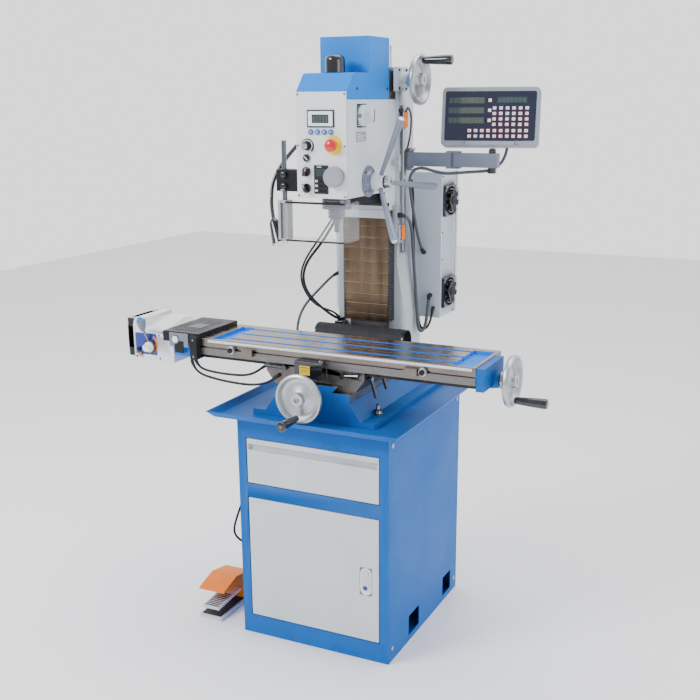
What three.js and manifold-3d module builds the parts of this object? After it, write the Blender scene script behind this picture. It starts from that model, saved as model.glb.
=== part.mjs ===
// Bench milling machine on a sheet-metal stand: all sizes in millimetres, +Z up, +X to the
// operator's right, the operator stands at -Y. The origin is on the floor, centred under the stand.
import * as THREE from "three";
import { mergeVertices } from "three/addons/utils/BufferGeometryUtils.js";
import Module from "manifold-3d";

const wasm = await Module();
wasm.setup();

// ---------- driving dimensions ----------
const GAP = 0.3; // clearance between pieces that touch
const STAND_W = 480;
const STAND_D = 550;
const STAND_H = 694;
const SHEET = 3;
const TRAY_RIM_Z = 713;
const BASE_TOP_Z = 787;
const SADDLE_TOP_Z = 851;
const TABLE_TOP_Z = 899;
const TABLE_L = 840;
const TABLE_W = 210;
const TABLE_CENTRE_X = 53;
const TABLE_FRONT_Y = -256;
const HEAD_HALF_W = 76;
const HEAD_FRONT_Y = -181;
const HEAD_BACK_Y = 92;
const HEAD_BOTTOM_Z = 1305;
const COVER_Z = 1562;
const COLUMN_FRONT_Y = 134;
const COLUMN_BACK_Y = 250;
const COLUMN_HALF_W = 84;
const COLUMN_TOP_Z = 1650;
const SPINDLE_Y = -97;
const QUILL_R = 38;
const WHEEL_R = 70;
const SADDLE_HALF_W = 153;
const CORD_SIDES = 8;

// ---------- materials ----------
function paint(color, roughness, metalness) {
  return new THREE.MeshStandardMaterial({ color, roughness, metalness });
}

const blue = paint(0x1e7fd0, 0.4, 0.1);
const skyBlue = paint(0x3fa0e0, 0.4, 0.1);
const grey = paint(0xc4cad0, 0.45, 0.1);
const paleGrey = paint(0xd6dade, 0.4, 0.1);
const steel = paint(0x8d8a86, 0.3, 0.9);
const silver = paint(0xb8bcc0, 0.3, 0.9);
const black = paint(0x1c1d20, 0.5, 0.0);
const white = paint(0xeceef0, 0.4, 0.0);
const brown = paint(0x6a5848, 0.4, 0.7);
const red = paint(0xc01820, 0.4, 0.0);
const orange = paint(0xf08a10, 0.5, 0.0);
const clear = paint(0xe6edf0, 0.1, 0.0);

// ---------- shape helpers ----------
function solidOf(geometry) {
  const bare = geometry.clone();
  bare.deleteAttribute("normal");
  bare.deleteAttribute("uv");
  const merged = mergeVertices(bare, 1e-4);
  const mesh = new wasm.Mesh({
    numProp: 3,
    vertProperties: merged.attributes.position.array,
    triVerts: new Uint32Array(merged.index.array),
  });
  return new wasm.Manifold(mesh);
}

function geometryOf(solid) {
  const mesh = solid.getMesh();
  const geometry = new THREE.BufferGeometry();
  geometry.setAttribute("position", new THREE.BufferAttribute(mesh.vertProperties, 3));
  geometry.setIndex(new THREE.BufferAttribute(mesh.triVerts, 1));
  return geometry;
}

function join(...pieces) {
  return geometryOf(pieces.map(solidOf).reduce((whole, piece) => whole.add(piece)));
}

function cut(body, ...tools) {
  return geometryOf(tools.map(solidOf).reduce((whole, tool) => whole.subtract(tool), solidOf(body)));
}

function box(x0, x1, y0, y1, z0, z1) {
  const geometry = new THREE.BoxGeometry(x1 - x0, y1 - y0, z1 - z0);
  return geometry.translate((x0 + x1) / 2, (y0 + y1) / 2, (z0 + z1) / 2);
}

// A box from half-size low (x, y) at z0 to half-size high (x, y) at z1, centred on the Z axis.
function tapered(low, high, z0, z1) {
  const geometry = new THREE.BoxGeometry(2, 2, 2);
  const points = geometry.attributes.position;
  for (let i = 0; i < points.count; i += 1) {
    const [halfX, halfY] = points.getZ(i) > 0 ? high : low;
    points.setXYZ(i, points.getX(i) * halfX, points.getY(i) * halfY, points.getZ(i) > 0 ? z1 : z0);
  }
  return geometry;
}

// A profile of [radius, height] pairs turned about a line along axis through centre.
function turned(axis, centre, profile, sides = 28) {
  const geometry = new THREE.LatheGeometry(profile.map(([r, h]) => new THREE.Vector2(r, h)), sides);
  const turns = { x: [0, 0, -Math.PI / 2], y: [0, 0, 0], z: [Math.PI / 2, 0, 0] };
  const [rx, ry, rz] = turns[axis];
  return geometry.rotateX(rx).rotateY(ry).rotateZ(rz).translate(...centre);
}

// A round bar along axis: centre gives the other two coordinates, from and to the ends.
function bar(axis, centre, radius, from, to, sides = 20) {
  const place = [...centre];
  place["xyz".indexOf(axis)] = from;
  return turned(axis, place, [[0, 0], [radius, 0], [radius, to - from], [0, to - from]], sides);
}

// A flat outline of [x, z] (axis y), [y, z] (axis x) or [x, y] (axis z) points, pushed along axis.
function prism(axis, outline, from, to) {
  const shape = new THREE.Shape(outline.map(([a, b]) => new THREE.Vector2(a, b)));
  const geometry = new THREE.ExtrudeGeometry(shape, { depth: to - from, bevelEnabled: false });
  if (axis === "x") return geometry.rotateX(Math.PI / 2).rotateZ(Math.PI / 2).translate(from, 0, 0);
  if (axis === "y") return geometry.rotateX(Math.PI / 2).translate(0, to, 0);
  return geometry.translate(0, 0, from);
}

function curveOf(points) {
  return new THREE.CatmullRomCurve3(points.map((p) => new THREE.Vector3(...p)), false, "centripetal");
}

function cord(points, radius, steps) {
  const section = new THREE.Shape();
  for (let i = 0; i < CORD_SIDES; i += 1) {
    const angle = (2 * Math.PI * i) / CORD_SIDES;
    const place = [radius * Math.cos(angle), radius * Math.sin(angle)];
    if (i === 0) section.moveTo(...place);
    else section.lineTo(...place);
  }
  return new THREE.ExtrudeGeometry(section, { steps, extrudePath: curveOf(points), bevelEnabled: false });
}

// A round bar between two points anywhere, with its own radius at each end.
function strut(from, to, radiusFrom, radiusTo, sides = 12) {
  const start = new THREE.Vector3(...from);
  const along = new THREE.Vector3(...to).sub(start);
  const geometry = new THREE.CylinderGeometry(radiusTo, radiusFrom, along.length(), sides);
  const turn = new THREE.Quaternion().setFromUnitVectors(
    new THREE.Vector3(0, 1, 0), along.clone().normalize());
  geometry.applyQuaternion(turn);
  return geometry.translate(...start.addScaledVector(along, 0.5).toArray());
}

const model = new THREE.Group();
model.name = "milling_machine";

function part(name, geometry, material, parent = model) {
  const mesh = new THREE.Mesh(geometry, material);
  mesh.name = name;
  parent.add(mesh);
  return mesh;
}

// ---------- stand ----------
function stand() {
  const w = STAND_W / 2;
  const d = STAND_D / 2;
  const shelfZ = 462;
  const notches = [[-126, -45], [152, 222]].flatMap(([y0, y1]) => [
    box(w - 2 * SHEET, w + 1, y0, y1, 18, 82),
    box(-w - 1, -w + 2 * SHEET, y0, y1, 18, 82),
  ]);
  const gland = bar("x", [0, -200, 420], 9, -w - 14, -w + 1, 16);
  const shell = cut(
    box(-w, w, -d, d, 0, STAND_H),
    box(-w + SHEET, w - SHEET, -d + SHEET, d - SHEET, SHEET, shelfZ),
    box(-w + SHEET, w - SHEET, -d + SHEET, d - SHEET, shelfZ + SHEET, STAND_H - SHEET),
    box(-212, 212, -d - 1, -d + SHEET + 1, 484.5, 624.5),
    box(-212, 212, -d - 1, -d + SHEET + 1, 60, 442.5),
    ...notches,
  );
  part("stand_cabinet", join(shell, gland), blue);

  const front = cut(
    box(-209.5, 209.5, -d, -d + 18, 487, 622),
    box(-206, 206, -d - 1, -d + 13, 588, 607),
  );
  const bin = cut(
    box(-202, 202, -d + 17, 150, 491, 600),
    box(-200, 200, -d + 18, 148, 493, 601),
  );
  part("drawer", join(front, bin), grey);

  const door = cut(
    box(-209.5, 209.5, -d, -d + 18, 62.5, 440),
    box(150, 188, -d - 1, -d + 10, 203, 289),
  );
  part("cabinet_door", door, grey);
  part("door_latch", box(151, 187, -d, -d + 9, 204, 288), silver);

  const rim = [297, 350];
  const floorZ = STAND_H + GAP;
  const tray = cut(
    tapered([279, 332], rim, floorZ, TRAY_RIM_Z),
    tapered([275, 328], [292.5, 345.5], floorZ + SHEET, TRAY_RIM_Z + 1),
  );
  part("chip_tray", tray, blue);
}

// ---------- base, saddle and table ----------
const BASE_BOTTOM_Z = STAND_H + GAP + SHEET + GAP;
const FOOT_TOP_Z = 712;
const Y_SCREW_Z = 781;
const Y_WHEEL_Y = -337;

function base() {
  const half = [
    [191, BASE_BOTTOM_Z], [191, FOOT_TOP_Z], [150, FOOT_TOP_Z], [112, 765],
    [118, 765], [118, BASE_TOP_Z], [64, BASE_TOP_Z], [81, 805],
  ];
  const outline = [...half, ...half.map(([x, z]) => [-x, z]).reverse()];
  const studs = [[-157, -165], [157, -165], [-157, 240], [157, 240]].flatMap(([x, y]) => [
    bar("z", [x, y, 0], 10, FOOT_TOP_Z - 1, FOOT_TOP_Z + 10, 6),
    bar("z", [x, y, 0], 5, FOOT_TOP_Z + 5, FOOT_TOP_Z + 28, 8),
  ]);
  const screwBoss = bar("y", [0, 0, Y_SCREW_Z], 22, -300, -260);
  const casting = prism("y", outline, -264, 300);
  // The way stops in front of the column, which stands on the flat top behind it.
  const columnSeat = box(-120, 120, 110, 301, BASE_TOP_Z, 806);
  part("base_casting", join(cut(casting, columnSeat), screwBoss, ...studs), blue);
}

function handwheel(name, axis, centre, outward, hubBack, hubFront, material = silver) {
  const s = outward;
  const profile = [
    [0, hubBack], [20, hubBack], [20, -6], [46, -14], [58, -10], [61, -4], [66, -8], [WHEEL_R, -2],
    [WHEEL_R, 4], [66, 9], [60, 7], [56, -4], [44, -8], [20, 0], [17, hubFront], [0, hubFront],
  ].map(([r, h]) => [r, h * s]);
  if (s < 0) profile.reverse();
  part(name, turned(axis, centre, profile, 28), material);
}

// A revolving hand grip on a crank wheel, along the wheel's own axis.
function grip(name, axis, centre, outward) {
  const s = outward;
  const start = 7.5;
  const end = start + GRIP_L;
  const profile = [[0, start], [8, start], [10, start + 10], [13.5, end - 16], [14, end], [0, end]]
    .map(([r, h]) => [r, h * s]);
  if (s < 0) profile.reverse();
  part(name, turned(axis, centre, profile, 12), black);
}

const GRIP_CIRCLE_R = 52;
const GRIP_L = 90;

function yHandwheel() {
  handwheel("y_handwheel", "y", [0, Y_WHEEL_Y, Y_SCREW_Z], -1, -36.5, 14);
  const angle = (-94 * Math.PI) / 180;
  const place = [GRIP_CIRCLE_R * Math.cos(angle), Y_WHEEL_Y, Y_SCREW_Z + GRIP_CIRCLE_R * Math.sin(angle)];
  grip("y_handwheel_grip", "y", place, -1);
}

function lockLever(name, axis, centre, along, outward) {
  const s = outward;
  const boss = [[0, 0], [8, 0], [8, 14], [0, 14]].map(([r, h]) => [r, h * s]);
  if (s < 0) boss.reverse();
  const from = [...centre];
  from["xyz".indexOf(axis)] += 9 * s;
  const to = from.map((value, i) => value + along[i]);
  part(name, join(turned(axis, centre, boss, 12), strut(from, to, 4, 5.5, 10)), black);
}

function saddle() {
  const outline = [
    [-124, BASE_TOP_Z + GAP], [-SADDLE_HALF_W, 825], [-SADDLE_HALF_W, SADDLE_TOP_Z],
    [SADDLE_HALF_W, SADDLE_TOP_Z], [SADDLE_HALF_W, 825], [124, BASE_TOP_Z + GAP],
    [64.4, BASE_TOP_Z + GAP], [81.5, 805.5], [-81.5, 805.5], [-64.4, BASE_TOP_Z + GAP],
  ];
  const groove = [[-236.5, 837.6], [-226.2, SADDLE_TOP_Z + 1], [-75.8, SADDLE_TOP_Z + 1], [-65.5, 837.6]];
  const body = cut(prism("y", outline, -246, -25), prism("x", groove, -160, 160));
  const switchBox = [
    box(-47, 39, -275, -245, 823, SADDLE_TOP_Z - 1),
    box(-47, 39, -275, TABLE_FRONT_Y - 1, 823, 870),
    bar("y", [34, 0, 829], 5, -290, -270, 10),
  ];
  part("saddle", join(body, ...switchBox), steel);
  const front = -246 - GAP;
  lockLever("saddle_lock_left", "y", [-89, front, 840], [-62, -3, 3], -1);
  lockLever("saddle_lock_right", "y", [92, front, 836], [50, -3, 5], -1);
  const side = SADDLE_HALF_W + GAP;
  lockLever("gib_lock_front", "x", [side, -222, 827], [10, 12, -54], 1);
  lockLever("gib_lock_rear", "x", [side, -150, 827], [10, 10, -46], 1);
}

const TABLE_X0 = TABLE_CENTRE_X - TABLE_L / 2;
const TABLE_X1 = TABLE_CENTRE_X + TABLE_L / 2;
const TABLE_BACK_Y = TABLE_FRONT_Y + TABLE_W;

function table() {
  const dovetail = [[-236, 838], [-226, 852], [-76, 852], [-66, 838]];
  const slots = [-92, -156, -222].flatMap((y) => [
    box(-290, 405, y - 6, y + 6, TABLE_TOP_Z - 12, TABLE_TOP_Z + 1),
    box(-290, 405, y - 10, y + 10, TABLE_TOP_Z - 21, TABLE_TOP_Z - 11),
  ]);
  const troughs = [box(-335, -289, -246, -72, 889, 900), box(404, 462, -246, -72, 889, 900)];
  const stopGroove = box(TABLE_X0 - 1, TABLE_X1 + 1, TABLE_FRONT_Y - 1, TABLE_FRONT_Y + 6, 872, 878);
  const stops = [[-221, -187], [277, 315]].map(([x0, x1]) => (
    box(x0, x1, TABLE_FRONT_Y - 12, TABLE_FRONT_Y + 1, 862, 882)));
  const plate = cut(
    box(TABLE_X0, TABLE_X1, TABLE_FRONT_Y, TABLE_BACK_Y, SADDLE_TOP_Z + GAP, TABLE_TOP_Z),
    ...slots, ...troughs, stopGroove,
  );
  part("table", join(plate, prism("x", dovetail, TABLE_X0, TABLE_X1), ...stops), steel);
}

const X_SCREW_Y = -151;
const X_SCREW_Z = 847;
const X_WHEEL_X = 539;

function tableRightEnd() {
  const x = TABLE_X1 + GAP;
  const bracket = join(
    box(x, x + 22, TABLE_FRONT_Y + 2, -92, 836, 897),
    turned("x", [x, X_SCREW_Y, X_SCREW_Z], [[0, 10], [26, 10], [22, 34], [0, 34]]),
  );
  part("table_bracket_right", bracket, blue);
  handwheel("x_handwheel", "x", [X_WHEEL_X, X_SCREW_Y, X_SCREW_Z], 1, -31, 14);
  grip("x_handwheel_grip", "x", [X_WHEEL_X, X_SCREW_Y, X_SCREW_Z - GRIP_CIRCLE_R], 1);
}

const FEED_DIAL = [-545, -256, 857];

function powerFeed() {
  const x = TABLE_X0 - GAP;
  const bracket = join(
    box(-462, x, -250, -62, 838, 882),
    box(-494, x, -262, -52, 881.3, 912),
    box(-392, x, -276, -249, 838, 905),
    box(-452, -420, -266, -249, 850, 886),
  );
  part("table_bracket_left", bracket, blue);
  const endBlock = [[-256, 818], [-104, 818], [-104, 938], [-236, 938], [-250, 931], [-256, 916]];
  const gearBlock = [[-256, 815], [-104, 815], [-104, 927], [-150, 927], [-248, 908], [-256, 899]];
  const housing = join(
    prism("x", endBlock, -605, -574),
    cut(prism("x", gearBlock, -575, -462.3), box(-495, -460, -270, -50, 880.8, 970)),
    box(-628, -604, -250, -110, 822, 936),
  );
  part("power_feed_housing", housing, white);
  const [dx, dy, dz] = FEED_DIAL;
  const knob = [-553, -280, 918];
  const lever = join(
    bar("y", [dx, 0, dz], 22, dy - 7, dy - GAP, 20),
    strut([dx - 2, dy - 5, dz + 18], knob, 3.5, 4, 10),
    strut([-552, -280, 912], [-556, -282, 942], 8, 14, 12),
  );
  part("feed_lever", lever, black);
  part("feed_speed_dial", bar("y", [dx, 0, dz], 16, dy - 27, dy - 7.3, 20), white);
}

// ---------- column ----------
const ARM_PIVOT_X = 98;
const ARM_Y = 190;
const ARM_Z = 1392;
const Z_SCREW_Y = 132;
const Z_SCREW_Z = 1615;
const Z_WHEEL_X = 152;

function column() {
  const half = [
    [112, BASE_TOP_Z + GAP], [112, 915], [COLUMN_HALF_W, 1084], [COLUMN_HALF_W, COLUMN_TOP_Z],
  ];
  const outline = [...half, ...half.map(([x, z]) => [-x, z]).reverse()];
  const casting = prism("y", outline, COLUMN_FRONT_Y, COLUMN_BACK_Y);
  const way = box(-58, 58, 104, COLUMN_FRONT_Y + 1, 880, 1645);
  const edgePlate = box(-112, -83, COLUMN_FRONT_Y, 146, 890, 1300);
  const scale = box(83, 92, 150, 178, 1120, 1545);
  const topRod = bar("z", [36, 190, 0], 3, COLUMN_TOP_Z - 5, 1712, 8);
  const bearing = [
    box(COLUMN_HALF_W - 1, COLUMN_HALF_W + 14, 104, 166, 1584, COLUMN_TOP_Z),
    turned("x", [COLUMN_HALF_W, Z_SCREW_Y, Z_SCREW_Z], [[0, 10], [24, 10], [20, 34], [0, 34]]),
  ];
  const armLugs = [ARM_Z - 32, ARM_Z + 24 + GAP].map((z) => (
    box(COLUMN_HALF_W - 1, ARM_PIVOT_X + 13, ARM_Y - 13, ARM_Y + 13, z, z + 8 - GAP)));
  part("column", join(casting, way, edgePlate, scale, topRod, ...bearing, ...armLugs), grey);
}

function zDrive() {
  handwheel("z_handwheel", "x", [Z_WHEEL_X, Z_SCREW_Y, Z_SCREW_Z], 1, -33, 14);
  grip("z_handwheel_grip", "x", [Z_WHEEL_X, Z_SCREW_Y, Z_SCREW_Z + GRIP_CIRCLE_R], 1);
}

// A pleated sleeve, open at the back, that wraps the way on the column's front.
function sleeve(name, z0, z1, material) {
  const outline = [
    [-HEAD_HALF_W, 92], [HEAD_HALF_W, 92], [HEAD_HALF_W, 133.7], [70, 133.7],
    [70, 98], [-70, 98], [-70, 133.7], [-HEAD_HALF_W, 133.7],
  ];
  part(name, prism("z", outline, z0, z1), material);
}

function wayCovers() {
  sleeve("z_way_cover_lower", 915, 1249.7, brown);
  sleeve("z_way_cover_upper", COVER_Z + 1.3, 1640, black);
  const centre = [68, 868];
  const arc = (radius, from, to) => [0, 1, 2, 3, 4, 5, 6, 7, 8].map((i) => {
    const angle = from + ((to - from) * i) / 8;
    return [centre[0] + radius * Math.cos(angle), centre[1] + radius * Math.sin(angle)];
  });
  const outline = [
    [-24.7, 836], [35, 836], ...arc(33, Math.PI, 0), [101, 820],
    [104, 820], ...arc(36, 0, Math.PI), [32, 839], [-24.7, 839],
  ];
  part("y_way_cover", prism("x", outline, -150, 146), black);
}

// ---------- head ----------
const SPINDLE = [0, SPINDLE_Y, 0];
const STOP_X = 37;
const STOP_Z = 1445;

function head() {
  const w = HEAD_HALF_W;
  const casting = join(
    cut(
      box(-w, w, HEAD_FRONT_Y, HEAD_BACK_Y, HEAD_BOTTOM_Z, COVER_Z),
      bar("z", SPINDLE, QUILL_R + GAP, HEAD_BOTTOM_Z - 1, 1500, 28),
      bar("y", [STOP_X, 0, STOP_Z], 11, HEAD_FRONT_Y - 1, HEAD_FRONT_Y + 8, 20),
    ),
    box(w - 1, w + 3, -131, -71, 1487, 1553),
    turned("x", [w, -55, 1343.5], [[0, -2], [35, -2], [35, 4], [27, 8], [27, 16], [0, 16]], 24),
  );
  part("head_casting", casting, grey);
  const slide = cut(
    box(-w, w, HEAD_BACK_Y + GAP, COLUMN_FRONT_Y - GAP, 1250, COVER_Z),
    box(-58.3, 58.3, 103.7, COLUMN_FRONT_Y + 1, 1249, COVER_Z + 1),
  );
  const nose = box(-w, w, 60, HEAD_BACK_Y + 1, 1272, HEAD_BOTTOM_Z - GAP);
  const reader = [box(w + GAP, w + 17, 112, 133, 1162, 1256), box(w - 1, w + 17, 112, 133, 1250, 1262)];
  part("head_slide", join(slide, nose, ...reader), grey);
  const cover = [
    [HEAD_FRONT_Y, COVER_Z + GAP], [HEAD_FRONT_Y, 1583], [-139, 1629], [-125, 1631],
    [HEAD_BACK_Y - 1, 1631], [HEAD_BACK_Y - 1, COVER_Z + GAP],
  ];
  part("head_cover", join(prism("x", cover, -w, w), box(-73, w, -44, 91, 1630, 1727)), skyBlue);
  const cap = [[0, 1631.3], [27, 1631.3], [27, 1670], [22, 1678], [0, 1678]];
  part("drawbar_cap", turned("z", SPINDLE, cap, 20), black);
}

const PANEL_Y = HEAD_FRONT_Y - GAP;
const PANEL_FACE_Y = PANEL_Y - 3;

function knobOnPanel(name, x, z, radius, depth, material, sides = 20) {
  part(name, bar("y", [x, 0, z], radius, PANEL_FACE_Y - GAP - depth, PANEL_FACE_Y - GAP, sides), material);
}

function controlPanel() {
  const w = HEAD_HALF_W - 1;
  const plate = join(
    box(-w, w, PANEL_FACE_Y, PANEL_Y, HEAD_BOTTOM_Z, 1582),
    box(-40, 40, PANEL_FACE_Y - 4, PANEL_FACE_Y + 1, 1491, 1536),
    box(-22, 20, PANEL_FACE_Y - 3, PANEL_FACE_Y + 1, 1317, 1393),
    ...[-30, -10, 10, 30].map((x) => bar("y", [x, 0, 1479], 6.5, PANEL_FACE_Y - 2, PANEL_FACE_Y + 1, 14)),
  );
  const stopHole = bar("y", [STOP_X, 0, STOP_Z], 11, PANEL_FACE_Y - 1, PANEL_Y + 1, 20);
  part("control_panel", cut(plate, stopHole), paleGrey);
  knobOnPanel("speed_knob", -42, 1443, 13, 16, black);
  const stop = turned("y", [STOP_X, PANEL_FACE_Y - GAP, STOP_Z],
    [[0, -28], [14, -27], [17, -23], [17, -15], [10, -11], [10, 0], [0, 0]], 20);
  part("stop_button", stop, red);
  knobOnPanel("key_switch", -44, 1411, 11, 10, silver);
  knobOnPanel("mode_selector", -44, 1375, 14.5, 18, black);
  knobOnPanel("direction_selector", -44, 1331, 14.5, 18, black);
  const fineFeed = turned("y", [42, PANEL_FACE_Y - 3 - GAP, 1363],
    [[0, -20], [24, -20], [27, -17], [27, -4], [24, 0], [0, 0]], 24);
  part("fine_feed_knob", fineFeed, paleGrey);
}

function spindleGroup() {
  const quill = cut(
    join(
      bar("z", SPINDLE, QUILL_R, 1295, 1490, 28),
      bar("z", SPINDLE, 41, 1269, 1297, 28),
    ),
    bar("z", SPINDLE, 20.5, 1260, 1302, 28),
  );
  part("quill", quill, silver);
  const profile = [
    [0, 1204], [7.5, 1204], [8.5, 1230], [12, 1230], [12, 1243], [24, 1243], [24, 1268.5],
    [19.8, 1268.5], [19.8, 1301], [0, 1301],
  ];
  part("spindle", turned("z", SPINDLE, profile, 28), silver);
}

const HUB = [109, -55, 1343.5];
const LEVER_LENGTH = 208;
const LEVER_TILT = (28 * Math.PI) / 180;
const LEVER_ANGLES = [112.6, -7.4, -127.4];

function feedHub() {
  const [x, y, z] = HUB;
  const core = turned("x", [x, y, z], [
    [0, -16.7], [24, -16.7], [26, -10], [28, 0], [26, 12], [18, 22], [13, 22], [14, 38], [0, 38],
  ], 20);
  const levers = LEVER_ANGLES.map((degrees) => {
    const angle = (degrees * Math.PI) / 180;
    const reach = LEVER_LENGTH * Math.cos(LEVER_TILT);
    const tip = [
      x + LEVER_LENGTH * Math.sin(LEVER_TILT), y + reach * Math.cos(angle), z + reach * Math.sin(angle),
    ];
    const root = [x, y, z].map((value, i) => value + (tip[i] - value) * 0.06);
    return strut(root, tip, 6, 8, 12);
  });
  part("feed_lever_hub", join(core, ...levers), silver);
  const knob = join(
    turned("x", [HEAD_HALF_W + 3 + GAP, -101, 1520], [[0, 0], [29, 0], [29, 6], [24, 8], [22, 34], [0, 34]], 24),
    box(HEAD_HALF_W + 36, HEAD_HALF_W + 42, -104, -98, 1500, 1540),
  );
  part("gear_knob", knob, paleGrey);
  const lock = join(
    bar("x", [0, 112, 1385], 8, HEAD_HALF_W + GAP, 104, 14),
    bar("z", [98, 112, 0], 5, 1362, 1408, 10),
  );
  part("head_lock_lever", lock, silver);
}

// ---------- chip guard and lamp ----------
const ROD_X = -151;
const ROD_Y = -120;

function chipGuard() {
  const clamp = cut(
    box(-168, -HEAD_HALF_W - GAP, -138, -102, 1316, 1376),
    bar("z", [ROD_X, ROD_Y, 0], 7.3, 1315, 1377, 16),
  );
  part("guard_clamp", clamp, black);
  const shield = join(
    bar("z", [ROD_X, ROD_Y, 0], 7, 1280, 1454, 16),
    box(ROD_X - 15, ROD_X + 15, -136, -104, 1180, 1290.5),
    box(ROD_X, 52, -148, -144.5, 1180, 1289),
    box(ROD_X - 5, ROD_X + 5, -147, -130, 1185, 1285),
    box(48.5, 52, -148, -60, 1180, 1289),
  );
  part("chip_guard", shield, clear);
}

function lamp() {
  const neck = [[-76.4, -60, 1470], [-88, -60, 1470], [-115, -60, 1458], [-155, -60, 1425],
    [-198, -58, 1378], [-228, -52, 1330], [-236, -50, 1285], [-231, -55, 1245], [-219, -64, 1212]];
  const shade = strut([-222, -62, 1220], [-194, -78, 1160], 16, 24, 16);
  part("work_lamp", join(cord(neck, 6, 22), shade), black);
}

// ---------- digital readout ----------
const ELBOW_X = 245;
const READOUT_PIVOT = [353, ARM_Y, 1418];
const READOUT_YAW = (11.6 * Math.PI) / 180;
const READOUT_TILT = (10 * Math.PI) / 180;

function readout() {
  const inner = join(
    box(ARM_PIVOT_X, 231, ARM_Y - 12, ARM_Y + 12, ARM_Z - 20, ARM_Z + 20),
    bar("z", [ARM_PIVOT_X, ARM_Y, 0], 13, ARM_Z - 24, ARM_Z + 24, 16),
    box(216, 231, ARM_Y - 12, ARM_Y + 12, ARM_Z - 25, ARM_Z + 25),
    box(216, 257, ARM_Y - 12, ARM_Y + 12, ARM_Z - 25, ARM_Z - 20 - GAP),
    box(216, 257, ARM_Y - 12, ARM_Y + 12, ARM_Z + 20 + GAP, ARM_Z + 25),
  );
  part("readout_arm_inner", inner, grey);
  const [px, py, pz] = READOUT_PIVOT;
  const outer = join(
    box(ELBOW_X, 372, ARM_Y - 12, ARM_Y + 12, ARM_Z - 20, ARM_Z + 20),
    bar("z", [ELBOW_X, ARM_Y, 0], 12, ARM_Z - 20, ARM_Z + 20, 16),
    bar("z", [px, py, 0], 12, ARM_Z - 36, ARM_Z - 19, 14),
    turned("z", [px, py, 0], [
      [0, ARM_Z + 19], [9, ARM_Z + 19], [9, pz - 6], [11, pz], [8, pz + 7], [0, pz + 8],
    ], 16),
  );
  part("readout_arm_outer", outer, grey);
  const pan = new THREE.Group();
  pan.position.set(px, py, pz);
  pan.rotation.z = READOUT_YAW;
  const tilt = new THREE.Group();
  tilt.rotation.x = -READOUT_TILT;
  pan.add(tilt);
  model.add(pan);
  const [left, right, low, high, c] = [-152, 126, 16, 181, 12];
  const outline = [
    [left + c, low], [right - c, low], [right, low + c], [right, high - c],
    [right - c, high], [left + c, high], [left, high - c], [left, low + c],
  ];
  const chin = prism("x", [[12, 17], [12, 30], [-2, 27], [-8, 21], [-5, 14], [0, 12], [12, 12]], -80, 60);
  part("readout_display", join(prism("y", outline, 10, 56), chin), paleGrey, tilt);
}

// ---------- electrics box ----------
const BOX_HALF_W = 178;
const BOX_Y0 = COLUMN_BACK_Y + GAP;
const BOX_Y1 = 370;
const BOX_Z0 = 909;
const BOX_Z1 = 1350;

function electrics() {
  const shell = cut(
    box(-BOX_HALF_W, BOX_HALF_W, BOX_Y0, BOX_Y1, BOX_Z0, BOX_Z1),
    box(-BOX_HALF_W + SHEET, BOX_HALF_W - SHEET, BOX_Y0 + SHEET, BOX_Y1 + 1, BOX_Z0 + SHEET, BOX_Z1 - SHEET),
  );
  const grilles = [938, 1218].map((z) => (
    box(BOX_HALF_W - 1, BOX_HALF_W + 9, 262, 354, z, z + 92)));
  part("electrics_box", join(shell, ...grilles), grey);
  part("electrics_door", box(-BOX_HALF_W, BOX_HALF_W + 4, BOX_Y1 + GAP, BOX_Y1 + 14, BOX_Z0, BOX_Z1), grey);
}

// ---------- foot switch ----------
function footSwitch() {
  const plate = box(-412, -333, -263, -88, 0, 12);
  const housing = box(-404, -341, -122, -92, 10, 80);
  const hoodOutline = [
    [-252, 96], [-176, 118], [-96, 104], [-90, 60], [-124, 60], [-150, 76], [-176, 84], [-252, 90],
  ];
  const hollow = [[-260, 60], [-150, 55], [-128, 55], [-128, 92], [-176, 110], [-250, 88]];
  const hood = cut(prism("x", hoodOutline, -418, -327), prism("x", hollow, -412, -333));
  const inlet = bar("y", [-372, 0, 24], 8, -96, -74, 14);
  part("foot_switch_base", join(plate, housing, hood, inlet), orange);
  part("foot_pedal", prism("x", [[-260, 33], [-126, 44], [-126, 54], [-260, 42]], -402, -343), grey);
}

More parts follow.
